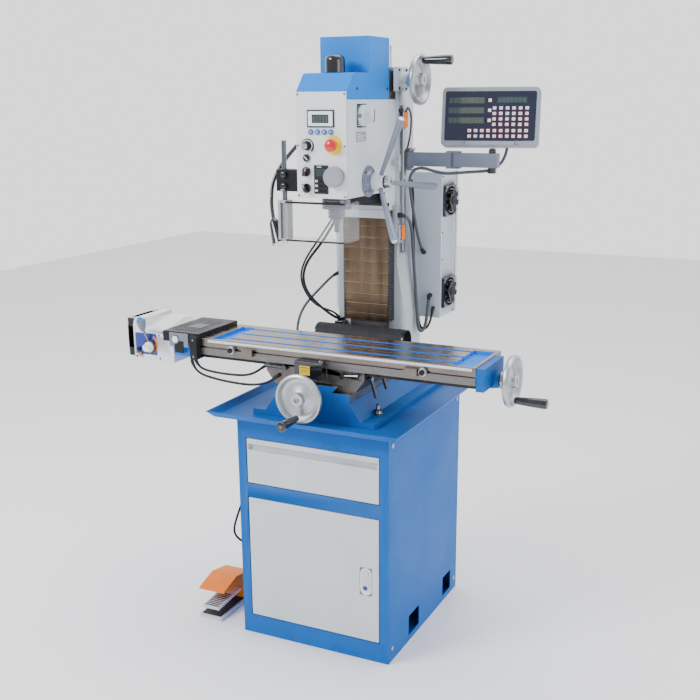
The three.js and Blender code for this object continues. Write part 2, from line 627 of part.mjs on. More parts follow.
// ---------- cords ----------
function cords() {
  part("foot_switch_cord", cord([
    [-254.4, -200, 420], [-262, -200, 420], [-277, -208, 385], [-292, -222, 330], [-300, -226, 292],
    [-292, -215, 268], [-270, -195, 245], [-256, -165, 190], [-252, -140, 110], [-256, -100, 40],
    [-268, -66, 8], [-310, -46, 5], [-350, -42, 7], [-369, -50, 18], [-372, -62, 24],
    [-372, -73.4, 24],
  ], 3.5, 56), black);
  part("feed_cable_front", cord([
    [-380, -262, 837.6], [-380, -262, 828], [-366, -262, 812], [-335, -262, 806], [-270, -262, 803],
    [-205, -260, 808], [-178, -250, 820], [-166, -232, 834], [-153.4, -232, 834],
  ], 3.5, 26), black);
  part("feed_cable_rear", cord([
    [-388, -270, 837.6], [-388, -270, 822], [-368, -271, 800], [-320, -271, 789], [-255, -271, 783],
    [-180, -270, 784], [-135, -267, 796], [-112, -258, 814], [-112, -246.4, 815],
  ], 3.5, 28), black);
  part("cable_harness", cord([
    [94.2, 122, 1234], [104, 122, 1234], [110, 150, 1225], [106, 190, 1190], [104, 208, 1120],
    [110, 212, 1020], [122, 203, 930], [130, 194, 880], [136, 200, 862], [144, 212, 880],
    [146, 226, 930], [146, 238, 976], [146, 249, 978],
  ], 5, 36), black);
  part("readout_cable", cord([
    [124, 249.2, 1110], [124, 238, 1112], [118, 215, 1160], [112, 198, 1220], [108, 178, 1290],
    [110, 162, 1335], [120, 158, 1360], [147, 156, 1371], [185, 160, 1361], [215, 168, 1354],
    [255, 180, 1356], [305, 192, 1360], [332, 206, 1361], [354, 226, 1370], [368, 250, 1392],
    [371, 271, 1425], [368.5, 279, 1450], [366.8, 273.2, 1465.2], [369, 262.4, 1467.1],
  ], 4.5, 46), grey);
  part("limit_cable_upper", cord([
    [-76.4, 112, 1270], [-86, 112, 1270], [-100, 90, 1215], [-127, 52, 1150], [-176, 50, 1090],
    [-192, 50, 1045], [-180, 50, 1000], [-150, 56, 965], [-115, 76, 930], [-100, 100, 912],
    [-97, 122, 905], [-97, 133.6, 905],
  ], 4, 34), black);
  part("limit_cable_lower", cord([
    [-112.4, 140, 1046], [-124, 140, 1045], [-160, 95, 1000], [-196, 55, 945], [-204, 30, 890],
    [-190, 12, 850], [-155, 2, 828], [-132, -10, 822], [-132, -24.6, 822],
  ], 4, 28), black);
}

stand();
base();
yHandwheel();
saddle();
table();
tableRightEnd();
powerFeed();
column();
zDrive();
wayCovers();
head();
controlPanel();
spindleGroup();
feedHub();
chipGuard();
lamp();
readout();
electrics();
footSwitch();
cords();

export default model;
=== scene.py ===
import math

import bmesh
import bpy
from mathutils import Matrix, Vector


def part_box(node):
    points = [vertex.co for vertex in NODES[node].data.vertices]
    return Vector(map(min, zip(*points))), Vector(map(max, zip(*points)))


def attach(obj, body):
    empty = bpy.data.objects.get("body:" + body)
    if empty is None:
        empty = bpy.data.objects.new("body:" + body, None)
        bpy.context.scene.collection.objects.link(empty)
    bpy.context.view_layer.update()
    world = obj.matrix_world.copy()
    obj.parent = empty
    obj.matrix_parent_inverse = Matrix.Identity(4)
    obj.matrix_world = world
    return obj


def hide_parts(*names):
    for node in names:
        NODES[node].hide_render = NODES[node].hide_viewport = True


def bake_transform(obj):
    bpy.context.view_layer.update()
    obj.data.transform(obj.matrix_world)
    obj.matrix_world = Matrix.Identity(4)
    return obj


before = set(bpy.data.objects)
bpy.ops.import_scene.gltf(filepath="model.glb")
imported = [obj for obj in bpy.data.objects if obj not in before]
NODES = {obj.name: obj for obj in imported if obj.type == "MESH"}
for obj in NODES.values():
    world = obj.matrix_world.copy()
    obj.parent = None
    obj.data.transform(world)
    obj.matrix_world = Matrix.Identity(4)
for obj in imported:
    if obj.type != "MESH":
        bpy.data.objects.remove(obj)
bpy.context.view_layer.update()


# ---------- camera ----------
CAMERA_AT = (1.2978, -2.6647, 1.5615)
YAW, PITCH, ROLL = (math.radians(a) for a in (25.6, 15.6, -0.3))
look = Vector((-math.sin(YAW) * math.cos(PITCH), math.cos(YAW) * math.cos(PITCH), -math.sin(PITCH)))
side = Vector((math.cos(YAW), math.sin(YAW), 0))
rise = side.cross(look)
side_r = side * math.cos(ROLL) + rise * math.sin(ROLL)
rise_r = rise * math.cos(ROLL) - side * math.sin(ROLL)
camera = bpy.data.objects.new("camera", bpy.data.cameras.new("camera"))
bpy.context.scene.collection.objects.link(camera)
bpy.context.scene.camera = camera
turn = Matrix((side_r, rise_r, -look)).transposed().to_4x4()
camera.matrix_world = Matrix.Translation(CAMERA_AT) @ turn
camera.data.sensor_width = 36
camera.data.lens = 52.66
camera.data.shift_x = -0.0136
camera.data.shift_y = 0.0507


# ---------- materials ----------
def srgb(r, g, b):
    return tuple((c / 255 / 12.92 if c / 255 <= 0.04045 else ((c / 255 + 0.055) / 1.055) ** 2.4)
                 for c in (r, g, b)) + (1.0,)


def shade(colour, k):
    return tuple(min(1.0, c * k) for c in colour[:3]) + (1.0,)


def material(name, colour, rough=0.4, metal=0.0, vary=0.05, grain=90.0, bump=0.0, bump_scale=400.0,
             stretch=(1, 1, 1), rough_vary=0.12, coat=0.0, clear=0.0, glow=0.0, ior=1.5, alpha=1.0):
    """A finish made of layered noise: colour, roughness and surface relief all vary over the piece."""
    m = bpy.data.materials.new(name)
    m.use_nodes = True
    nodes, links = m.node_tree.nodes, m.node_tree.links
    shader = nodes["Principled BSDF"]
    place = nodes.new("ShaderNodeTexCoord")
    scaled = nodes.new("ShaderNodeMapping")
    scaled.inputs["Scale"].default_value = stretch
    links.new(place.outputs["Object"], scaled.inputs["Vector"])

    def noise(scale, detail=4.0):
        n = nodes.new("ShaderNodeTexNoise")
        n.inputs["Scale"].default_value = scale
        n.inputs["Detail"].default_value = detail
        links.new(scaled.outputs["Vector"], n.inputs["Vector"])
        return n.outputs["Fac"]

    def ramp(source, low, high):
        r = nodes.new("ShaderNodeMapRange")
        r.inputs["From Min"].default_value = 0.3
        r.inputs["From Max"].default_value = 0.7
        r.inputs["To Min"].default_value = low
        r.inputs["To Max"].default_value = high
        links.new(source, r.inputs["Value"])
        return r.outputs["Result"]

    mix = nodes.new("ShaderNodeMix")
    mix.data_type = "RGBA"
    mix.inputs["A"].default_value = shade(colour, 1 - vary)
    mix.inputs["B"].default_value = shade(colour, 1 + vary)
    links.new(ramp(noise(grain), 0.0, 1.0), mix.inputs["Factor"])
    links.new(mix.outputs["Result"], shader.inputs["Base Color"])
    links.new(ramp(noise(grain * 0.37, 3), max(rough - rough_vary * 0.5, 0.03), rough + rough_vary * 0.5),
              shader.inputs["Roughness"])
    shader.inputs["Metallic"].default_value = metal
    shader.inputs["IOR"].default_value = ior
    shader.inputs["Specular IOR Level"].default_value = 0.5 if metal or coat else 0.22
    shader.inputs["Coat Weight"].default_value = coat
    shader.inputs["Coat Roughness"].default_value = 0.12
    shader.inputs["Transmission Weight"].default_value = clear
    shader.inputs["Alpha"].default_value = alpha
    if glow:
        links.new(mix.outputs["Result"], shader.inputs["Emission Color"])
        shader.inputs["Emission Strength"].default_value = glow
    if bump:
        b = nodes.new("ShaderNodeBump")
        b.inputs["Strength"].default_value = bump
        b.inputs["Distance"].default_value = 0.0006
        links.new(noise(bump_scale, 2), b.inputs["Height"])
        links.new(b.outputs["Normal"], shader.inputs["Normal"])
    return m


BLUE = material("enamel_blue", srgb(0, 92, 172), 0.5, vary=0.05, grain=14, bump=0.10, bump_scale=260)
SKY = material("cover_sky_blue", srgb(0, 124, 216), 0.5, vary=0.03, grain=10, bump=0.08, bump_scale=300)
VIVID = material("table_paint_blue", srgb(0, 124, 226), 0.5, vary=0.08, grain=30, bump=0.1)
SHEETGREY = material("door_grey", srgb(204, 209, 213), 0.42, vary=0.03, grain=12, bump=0.22, bump_scale=700)
CAST = material("casting_grey", srgb(200, 209, 215), 0.45, vary=0.04, grain=16, bump=0.2, bump_scale=380)
HEAD = material("head_grey", srgb(212, 218, 223), 0.4, vary=0.03, grain=14, bump=0.14, bump_scale=420)
BOXGREY = material("electrics_grey", srgb(202, 210, 219), 0.42, vary=0.03, grain=12, bump=0.16, bump_scale=600)
PALE = material("plastic_pale", srgb(228, 230, 232), 0.38, vary=0.02, grain=20, bump=0.12, bump_scale=900)
BEZEL = material("bezel_grey", srgb(150, 154, 164), 0.42, vary=0.03, grain=25, bump=0.2, bump_scale=1200)
WHITE = material("white_plastic", srgb(240, 241, 243), 0.35, vary=0.02, grain=30, bump=0.08)
ARMGREY = material("arm_slate", srgb(120, 127, 144), 0.4, vary=0.04, grain=14, bump=0.15, bump_scale=700)
LEVERGREY = material("lever_slate", srgb(122, 130, 146), 0.36, 0.35, 0.05, 40, 0.1, 700)
GROUND = material("ground_steel", srgb(128, 118, 112), 0.26, 1.0, 0.14, 24, 0.1, 900, (0.5, 8, 1), 0.16)
MACHINED = material("machined_steel", srgb(120, 118, 118), 0.34, 1.0, 0.14, 35, 0.18, 800, (1, 1, 10), 0.2)
DARKSTEEL = material("saddle_steel", srgb(112, 106, 104), 0.4, 0.85, 0.16, 40, 0.2, 600, (6, 1, 1), 0.2)
SILVER = material("satin_aluminium", srgb(186, 189, 193), 0.4, 1.0, 0.05, 40, 0.08, 900, (1, 1, 1), 0.1)
CHROME = material("bright_steel", srgb(128, 130, 137), 0.16, 1.0, 0.05, 60, 0.04, 900, (1, 1, 1), 0.08)
BROWN = material("blued_lamella", srgb(112, 94, 76), 0.22, 0.92, 0.34, 10, 0.08, 60, (3.2, 1, 0.3), 0.24)
BLACK = material("plastic_black", srgb(30, 31, 35), 0.38, vary=0.12, grain=60, bump=0.15, bump_scale=900)
GLOSS = material("gloss_black", srgb(20, 21, 26), 0.16, vary=0.1, grain=40, coat=0.6, rough_vary=0.06)
RUBBER = material("rubber_black", srgb(44, 45, 49), 0.6, vary=0.14, grain=50, bump=0.4, bump_scale=500)
CABLEGREY = material("cable_grey", srgb(86, 90, 96), 0.5, vary=0.06, grain=60, bump=0.15, bump_scale=600)
RED = material("stop_red", srgb(206, 22, 36), 0.25, vary=0.08, grain=40, coat=0.5, rough_vary=0.06)
YELLOW = material("stop_yellow", srgb(244, 206, 20), 0.4, vary=0.04, grain=40, bump=0.06)
ORANGE = material("guard_orange", srgb(244, 124, 20), 0.38, vary=0.05, grain=20, bump=0.18, bump_scale=700)
NAVY = material("navy_film", srgb(22, 30, 52), 0.22, vary=0.1, grain=30, coat=0.4, rough_vary=0.05)
LCDGREEN = material("lcd_olive", srgb(116, 124, 96), 0.3, vary=0.08, grain=60, coat=0.3)
LCDDARK = material("digit_window", srgb(44, 62, 66), 0.2, vary=0.18, grain=30, coat=0.5)
LCDOLIVE = material("digit_olive", srgb(74, 84, 70), 0.22, vary=0.14, grain=30, coat=0.5)
SEGMENT = material("digit_segment", srgb(96, 108, 98), 0.35, vary=0.1, grain=90)
KEYBLUE = material("key_blue", srgb(60, 112, 188), 0.35, vary=0.06, grain=60, bump=0.1)
MAROON = material("key_maroon", srgb(116, 40, 56), 0.4, vary=0.08, grain=60)
FILMBLUE = material("film_blue", srgb(14, 40, 150), 0.28, vary=0.05, grain=40, coat=0.3)
BRASS = material("brass", srgb(196, 152, 84), 0.28, 1.0, 0.1, 60, 0.08)
INK = material("dial_ink", srgb(38, 42, 52), 0.45, vary=0.1, grain=80)
FLOOR = material("pale_floor", srgb(252, 252, 253), 0.8, vary=0.01, grain=2, bump=0.02)
CLEAR = material("guard_clear", srgb(238, 244, 248), 0.06, vary=0.02, grain=6, clear=0.2, ior=1.2,
                 rough_vary=0.04, alpha=0.1)
LENS = material("lamp_lens", srgb(250, 246, 230), 0.2, vary=0.04, grain=60, glow=0.25)


# ---------- mesh building, all sizes in millimetres ----------
MM = 0.001
PUSH = {"x": lambda u, v, t: (t, u, v), "y": lambda u, v, t: (u, t, v), "z": lambda u, v, t: (u, v, t)}


def soften(bm, edges, width, segs=2):
    """Rounds edges off by a bevel."""
    bmesh.ops.bevel(bm, geom=edges, offset=width, segments=segs, profile=0.5, affect="EDGES",
                    clamp_overlap=True)


class Piece:
    """One visual mesh, built up from shapes that each carry a material."""

    def __init__(self, name, place=None):
        self.name = name
        self.bm = bmesh.new()
        self.mats = []
        self.place = place or Matrix.Identity(4)

    def index(self, mat):
        if mat not in self.mats:
            self.mats.append(mat)
        return self.mats.index(mat)

    def take(self, bm, mat, place=None):
        """Merges one finished shape into the piece."""
        i = self.index(mat)
        for f in bm.faces:
            f.material_index = i
        bmesh.ops.recalc_face_normals(bm, faces=bm.faces[:])
        bmesh.ops.transform(bm, matrix=self.place @ (place or Matrix.Identity(4)), verts=bm.verts[:])
        return self.merge(bm)

    def merge(self, bm):
        """Adds a shape as it stands and frees it."""
        scratch = bpy.data.meshes.new("scratch")
        bm.to_mesh(scratch)
        bm.free()
        self.bm.from_mesh(scratch)
        bpy.data.meshes.remove(scratch)
        return self

    def box(self, mat, x0, x1, y0, y1, z0, z1, r=0.0, segs=2, place=None):
        bm = bmesh.new()
        grid = [[bm.verts.new((x, y, z)) for z in (z0, z1)] for x in (x0, x1) for y in (y0, y1)]
        a, b, c, d = grid
        for quad in ((a[0], b[0], d[0], c[0]), (a[1], c[1], d[1], b[1]), (a[0], a[1], b[1], b[0]),
                     (c[0], d[0], d[1], c[1]), (a[0], c[0], c[1], a[1]), (b[0], b[1], d[1], d[0])):
            bm.faces.new(quad)
        if r:
            soften(bm, bm.edges[:], r, segs)
        return self.take(bm, mat, place)

    def prism(self, mat, axis, outline, lo, hi, r=0.0, segs=2, place=None):
        """An outline pushed along an axis; x takes (y, z), y takes (x, z), z takes (x, y)."""
        bm = bmesh.new()
        put = PUSH[axis]
        low = [bm.verts.new(put(u, v, lo)) for u, v in outline]
        high = [bm.verts.new(put(u, v, hi)) for u, v in outline]
        bm.faces.new(low)
        bm.faces.new(high[::-1])
        n = len(outline)
        for k in range(n):
            bm.faces.new((low[k], high[k], high[(k + 1) % n], low[(k + 1) % n]))
        if r:
            soften(bm, bm.edges[:], r, segs)
        return self.take(bm, mat, place)

    def lathe(self, mat, axis, centre, profile, segs=64, place=None, lobes=0, depth=0.0):
        """A profile of (radius, height) turned about an axis through centre; lobes scallop its rim."""
        bm = bmesh.new()
        rings = []
        for r, h in profile:
            ring = []
            for k in range(segs if r > 1e-6 else 1):
                t = 2 * math.pi * k / segs
                s = r * (1 - depth * (0.5 + 0.5 * math.cos(lobes * t))) if lobes else r
                u, v = s * math.cos(t), s * math.sin(t)
                x, y, z = PUSH[axis](u, v, h)
                ring.append(bm.verts.new((centre[0] + x, centre[1] + y, centre[2] + z)))
            rings.append(ring)
        for a, b in zip(rings, rings[1:]):
            for k in range(segs):
                quad = [a[k % len(a)], a[(k + 1) % len(a)], b[(k + 1) % len(b)], b[k % len(b)]]
                unique = list(dict.fromkeys(quad))
                if len(unique) > 2:
                    bm.faces.new(unique)
        for ring in (rings[0], rings[-1]):
            if len(ring) > 2:
                bm.faces.new(ring)
        return self.take(bm, mat, place)

    def tube(self, mat, points, r, segs=12, radii=None, place=None):
        """A round tube along points, closed at both ends."""
        bm = bmesh.new()
        pts = [Vector(p) for p in points]
        normal = None
        rings = []
        for k, p in enumerate(pts):
            ahead = (pts[min(k + 1, len(pts) - 1)] - pts[max(k - 1, 0)]).normalized()
            if normal is None:
                normal = ahead.orthogonal().normalized()
            normal = (normal - ahead * normal.dot(ahead)).normalized()
            other = ahead.cross(normal)
            rr = radii[k] if radii else r
            rings.append([bm.verts.new(p + (normal * math.cos(2 * math.pi * j / segs)
                                            + other * math.sin(2 * math.pi * j / segs)) * rr)
                          for j in range(segs)])
        for a, b in zip(rings, rings[1:]):
            for j in range(segs):
                bm.faces.new((a[j], a[(j + 1) % segs], b[(j + 1) % segs], b[j]))
        bm.faces.new(rings[0][::-1])
        bm.faces.new(rings[-1])
        return self.take(bm, mat, place)

    def node(self, name, mat, rules=(), bevel=0.8):
        """The CAD node's own shape with its edges rounded, coloured by region."""
        bm = bmesh.new()
        bm.from_mesh(NODES[name].data)
        bmesh.ops.transform(bm, matrix=Matrix.Scale(1000, 4), verts=bm.verts[:])
        bmesh.ops.remove_doubles(bm, verts=bm.verts[:], dist=0.02)
        bmesh.ops.dissolve_limit(bm, angle_limit=math.radians(0.6), verts=bm.verts[:], edges=bm.edges[:])
        if bevel:
            folds = [e for e in bm.edges if len(e.link_faces) == 2 and e.calc_face_angle(0) > math.radians(28)]
            soften(bm, [e for e in folds if e.calc_length() > 2.5 * bevel], bevel)
        bmesh.ops.recalc_face_normals(bm, faces=bm.faces[:])
        base = self.index(mat)
        for f in bm.faces:
            c, n = f.calc_center_median(), f.normal
            f.material_index = base
            for other, test in rules:
                if test(c, n):
                    f.material_index = self.index(other)
                    break
        return self.merge(bm)

    def done(self, body, replaces=(), slot=None, smooth=32, blend=None):
        """Makes the object, which rides one body, or stays fixed with its transform baked when blend is given,
        and hides the CAD parts it replaces.
        """
        bmesh.ops.transform(self.bm, matrix=Matrix.Scale(MM, 4), verts=self.bm.verts[:])
        mesh = bpy.data.meshes.new(self.name)
        self.bm.to_mesh(mesh)
        self.bm.free()
        for m in self.mats:
            mesh.materials.append(m)
        for poly in mesh.polygons:
            poly.use_smooth = True
        mesh.set_sharp_from_angle(angle=math.radians(smooth))
        obj = bpy.data.objects.new(self.name, mesh)
        bpy.context.scene.collection.objects.link(obj)
        even = obj.modifiers.new("even_normals", "WEIGHTED_NORMAL")
        even.keep_sharp = True
        if blend:
            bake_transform(obj)
        else:
            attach(obj, body)
        if replaces:
            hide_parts(*replaces)
        return obj


def arc(cx, cz, r, first, last, steps):
    """Points on a round stretch, by angle in degrees from one end to the other."""
    turns = (math.radians(first + (last - first) * k / steps) for k in range(steps + 1))
    return [(cx + r * math.cos(t), cz + r * math.sin(t)) for t in turns]


def rounded(x0, x1, z0, z1, r):
    """A rectangle with round corners."""
    corners = ((x1 - r, z0 + r, -90), (x1 - r, z1 - r, 0), (x0 + r, z1 - r, 90), (x0 + r, z0 + r, 180))
    return [p for cx, cz, first in corners for p in arc(cx, cz, r, first, first + 90, 6)]


def obround(cx, cz, w, h):
    """A slot outline w wide and h tall, round at both ends."""
    r = w / 2
    return arc(cx, cz + h / 2 - r, r, 0, 180, 14) + arc(cx, cz - h / 2 + r, r, 180, 360, 14)


def stud(r, foot, edge, top_r, top):
    """The lathe profile of a short cylinder with its end chamfered."""
    return [(0, foot), (r, foot), (r, edge), (top_r, top), (0, top)]


def plug(r, foot, top):
    """The lathe profile of a plain cylinder."""
    return [(0, foot), (r, foot), (r, top), (0, top)]


def ring(inner, outer, foot, top):
    """The lathe profile of a flat ring."""
    return [(inner, foot), (outer, foot), (outer, top), (inner, top), (inner, foot)]


def mirrored(side, near, far):
    """Low and high x of a span on the right (1) or left (-1) side."""
    return sorted((side * near, side * far))


def about(centre, angle, axis):
    """A turn by an angle in radians about an axis through a point."""
    spot = Matrix.Translation(centre)
    return spot @ Matrix.Rotation(angle, 4, axis) @ spot.inverted()


def moved(centre, x=0, y=0, z=0):
    """A point moved by some millimetres."""
    return (centre[0] + x, centre[1] + y, centre[2] + z)


def in_metres(points):
    return [[c * MM for c in p] for p in points]


def smooth_line(points, steps):
    """A centripetal Catmull-Rom line through the points, in equal steps of length."""
    pts = [Vector(p) for p in points]
    ends = [pts[0] * 2 - pts[1], *pts, pts[-1] * 2 - pts[-2]]
    dense = []
    for k in range(len(ends) - 3):
        p = ends[k:k + 4]
        t = [0.0]
        for a, b in zip(p, p[1:]):
            t.append(t[-1] + (b - a).length ** 0.5)
        for j in range(24):
            now = t[1] + (t[2] - t[1]) * j / 24
            first = [p[i].lerp(p[i + 1], (now - t[i]) / (t[i + 1] - t[i])) for i in range(3)]
            second = [first[i].lerp(first[i + 1], (now - t[i]) / (t[i + 2] - t[i])) for i in range(2)]
            dense.append(second[0].lerp(second[1], (now - t[1]) / (t[2] - t[1])))
    dense.append(pts[-1])
    run = [0.0]
    for a, b in zip(dense, dense[1:]):
        run.append(run[-1] + (b - a).length)
    out, k = [], 0
    for j in range(steps + 1):
        want = run[-1] * j / steps
        while k < len(run) - 2 and run[k + 1] < want:
            k += 1
        out.append(dense[k].lerp(dense[k + 1], (want - run[k]) / (run[k + 1] - run[k])))
    return out


def line_length(line):
    return sum((b - a).length for a, b in zip(line, line[1:]))


# ---------- cords ----------
def relaxed(line, rounds=36):
    """The line with its corners eased, as a stiff cable takes them; its two ends stay where they are."""
    for _ in range(rounds):
        eased = [a * 0.25 + b * 0.5 + c * 0.25 for a, b, c in zip(line[2:-4], line[3:-3], line[4:-2])]
        line = line[:3] + eased + line[-3:]
    return line


def first_stretch(line, run):
    """The points of a line up to a distance along it."""
    stretch, total = [line[0]], 0.0
    for a, b in zip(line, line[1:]):
        total += (b - a).length
        stretch.append(b)
        if total > run:
            break
    return stretch


def cord(name, mat, points, r, steps, nodes, sleeve_r, blend=None, sleeves=(20, 20)):
    """A free cord along its route, with a ribbed tapering sleeve at each end."""
    line = relaxed(smooth_line(points, steps))
    piece = Piece(name).tube(mat, line, r)
    for way, run in zip((line, line[::-1]), sleeves):
        stretch = first_stretch(way, run)
        n = len(stretch) - 1
        radii = [sleeve_r + (r * 1.12 - sleeve_r) * (k / n) ** 0.8 + (0.35 if k % 2 else -0.15)
                 for k in range(n + 1)]
        piece.tube(RUBBER, stretch, sleeve_r, radii=radii)
    obj = piece.done("stand", nodes, "rubber_black", blend=blend)
    path = in_metres(line)
    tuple(path[0])
    line_length(line) * MM


cord("foot_cord", BLACK, [
    (-254.4, -200, 420), (-262, -200, 420), (-277, -208, 385), (-292, -222, 330), (-300, -226, 292),
    (-292, -215, 268), (-270, -195, 245), (-256, -165, 190), (-252, -140, 110), (-256, -100, 40),
    (-268, -66, 8), (-310, -46, 5), (-350, -42, 7), (-369, -50, 18), (-372, -62, 24), (-372, -73.4, 24),
], 3.5, 150, ["foot_switch_cord"], 6.5, sleeves=(24, 22))
cord("feed_cable_front_look", BLACK, [
    (-380, -262, 837.6), (-380, -262, 828), (-366, -262, 812), (-335, -262, 806), (-270, -262, 803),
    (-205, -260, 808), (-178, -250, 820), (-166, -232, 834), (-153.4, -232, 834),
], 3.5, 90, ["feed_cable_front"], 5.5, sleeves=(22, 22),
     blend=("saddle", "table", (-0.16, -0.24, 0.83), (-0.37, -0.262, 0.83)))
cord("feed_cable_rear_look", BLACK, [
    (-388, -270, 837.6), (-388, -270, 822), (-368, -271, 800), (-320, -271, 789), (-255, -271, 783),
    (-180, -270, 784), (-135, -267, 796), (-112, -258, 814), (-112, -246.4, 815),
], 3.5, 90, ["feed_cable_rear"], 5.5, sleeves=(22, 22),
     blend=("saddle", "table", (-0.12, -0.25, 0.815), (-0.38, -0.27, 0.82)))
cord("cable_harness_look", CABLEGREY, [
    (94.2, 122, 1234), (104, 122, 1234), (110, 150, 1225), (106, 190, 1190), (104, 208, 1120),
    (110, 212, 1020), (122, 203, 930), (130, 194, 880), (136, 200, 862), (144, 212, 880),
    (146, 226, 930), (146, 238, 976), (146, 249, 978),
], 5, 130, ["cable_harness"], 7.5, blend=("stand", "head", (0.108, 0.2, 1.06), (0.1, 0.13, 1.232)))
cord("readout_cable_look", CABLEGREY, [
    (124, 249.2, 1110), (124, 238, 1112), (118, 215, 1160), (112, 198, 1220), (108, 178, 1290),
    (110, 162, 1335), (120, 158, 1360), (147, 156, 1371), (185, 160, 1361), (215, 168, 1354),
    (255, 180, 1356), (305, 192, 1360), (332, 206, 1361), (354, 226, 1370), (368, 250, 1392),
    (371, 271, 1425), (368.5, 279, 1450), (366.8, 273.2, 1465.2), (369, 262.4, 1467.1),
], 4.5, 200, ["readout_cable"], 7, sleeves=(24, 24),
     blend=("stand", "readout_arm_inner", (0.115, 0.17, 1.36), (0.2, 0.17, 1.36)))
cord("limit_cable_upper_look", BLACK, [
    (-76.4, 112, 1270), (-86, 112, 1270), (-100, 90, 1215), (-127, 52, 1150), (-176, 50, 1090),
    (-192, 50, 1045), (-180, 50, 1000), (-150, 56, 965), (-115, 76, 930), (-100, 100, 912),
    (-97, 122, 905), (-97, 133.6, 905),
], 4, 120, ["limit_cable_upper"], 6.5, blend=("stand", "head", (-0.18, 0.05, 1.05), (-0.086, 0.11, 1.268)))
cord("limit_cable_lower_look", CABLEGREY, [
    (-112.4, 140, 1046), (-124, 140, 1045), (-160, 95, 1000), (-196, 55, 945), (-204, 30, 890),
    (-190, 12, 850), (-155, 2, 828), (-132, -10, 822), (-132, -24.6, 822),
], 4, 110, ["limit_cable_lower"], 6.5, blend=("stand", "saddle", (-0.16, 0.09, 0.99), (-0.14, -0.01, 0.823)))
cord("head_signal_cable", BLACK, [
    (-76.4, 124, 1284), (-88, 124, 1283), (-110, 104, 1228), (-142, 74, 1165), (-190, 66, 1095),
    (-208, 64, 1045), (-196, 64, 1000), (-160, 68, 956), (-128, 86, 940), (-108, 108, 928),
    (-103, 115, 914), (-103, 115, 904.6),
], 3, 120, [], 5, blend=("stand", "head", (-0.19, 0.064, 1.05), (-0.086, 0.124, 1.282)))
cord("column_power_cable", BLACK, [
    (92.2, 200, 1330), (100, 200, 1328), (103, 206, 1300), (101, 215, 1200), (101, 222, 1120),
    (104, 224, 1020), (116, 220, 930), (127, 213, 884), (138, 214, 866), (149, 224, 880),
    (156, 236, 910), (157, 242, 936), (157, 249, 940),
], 3.5, 130, [], 5.5)


# ---------- sheet metal and small levers ----------
Piece("stand_skin").node("stand_cabinet", BLUE, [
    (BLACK, lambda c, n: c.x < -240.5),
], 1.2).done("stand", ["stand_cabinet"], "paint_blue")
LEVERS = ("saddle_lock_left", "saddle_lock_right", "gib_lock_front", "gib_lock_rear")
PLAIN_SKINS = [
    ("tray_skin", "chip_tray", "stand", BLUE, 1.0, "paint_blue"),
    ("drawer_skin", "drawer", "drawer", SHEETGREY, 1.0, "paint_grey"),
    ("door_skin", "cabinet_door", "cabinet_door", SHEETGREY, 1.0, "paint_grey"),
    ("arm_inner_skin", "readout_arm_inner", "readout_arm_inner", ARMGREY, 1.6, "paint_grey"),
    *((lever + "_skin", lever, lever, GLOSS, 1.2, "plastic_black") for lever in LEVERS),
]
for name, node, body, paint, bevel, slot in PLAIN_SKINS:
    Piece(name).node(node, paint, bevel=bevel).done(body, [node], slot)

# ---------- stand fittings and base ----------
tabs = Piece("stand_tabs")
for y0, y1 in ((-126, -45), (152, 222)):
    for sx in (1, -1):
        tabs.box(BLUE, *mirrored(sx, 222, 237), y0 + 6, y1 - 6, 82, 84.5, 0.8)
        tabs.box(BLUE, *mirrored(sx, 222, 224.5), y0 + 6, y1 - 6, 62, 84, 0.8)
tabs.lathe(BLACK, "x", (-240, -200, 420), [(0, 0), (13, 0), (13, -4), (10, -6), (9, -13.5), (0, -13.5)], 24)
for y in (-250, 250):
    for z in (40, 655):
        tabs.lathe(SILVER, "x", (240, y, z), [
            (0, -1), (7, -1), (7, 1.6), (5.6, 2.6), (2.6, 2.6), (2.6, 1.2), (0, 1.2)], 6)
tabs.done("stand", slot="paint_blue")

latch = Piece("latch_look")
latch.prism(PALE, "y", obround(169, 246, 35, 84), -275, -268, 1.6)
latch.prism(SHEETGREY, "y", obround(169, 250, 23, 62), -278.5, -272, 2.2)
latch.lathe(FILMBLUE, "y", (169, -278.5, 228), stud(7, 1, -1.2, 5.8, -2.0), 32)
latch.box(GLOSS, 168.2, 169.8, -281, -279, 223.5, 232.5, 0.3)
latch.done("door_latch", ["door_latch"], "paint_grey")

base = Piece("base_skin").node("base_casting", BLUE, [
    (MACHINED, lambda c, n: c.z > 765.5 and (n.z > 0.9 or c.z > 787.5)),
    (MACHINED, lambda c, n: 764 < c.z < 788 and abs(c.x) > 117 and abs(n.x) > 0.9),
], 1.2)
for x in (-157, 157):
    for y in (-165, 240):
        base.lathe(CHROME, "z", (x, y, 712), [
            (0, 0), (14, 0), (14, 2), (11.5, 2.4), (11.5, 11), (10, 12), (5, 12), (5, 27), (4, 28),
            (0, 28)], 24)
        base.lathe(CHROME, "z", (x, y, 714), [(11.6, 0), (12.2, 1), (12.2, 9), (11.4, 10)], 6)
base.lathe(SILVER, "y", (0, -300, 781), stud(24, 0, 6, 22, 8), 48)
base.done("stand", ["base_casting"], "paint_blue")


# ---------- wheels, grips and levers ----------
def facing(profile, way):
    """A profile turned to point along the axis (1) or against it (-1)."""
    return [(r, h * way) for r, h in profile]


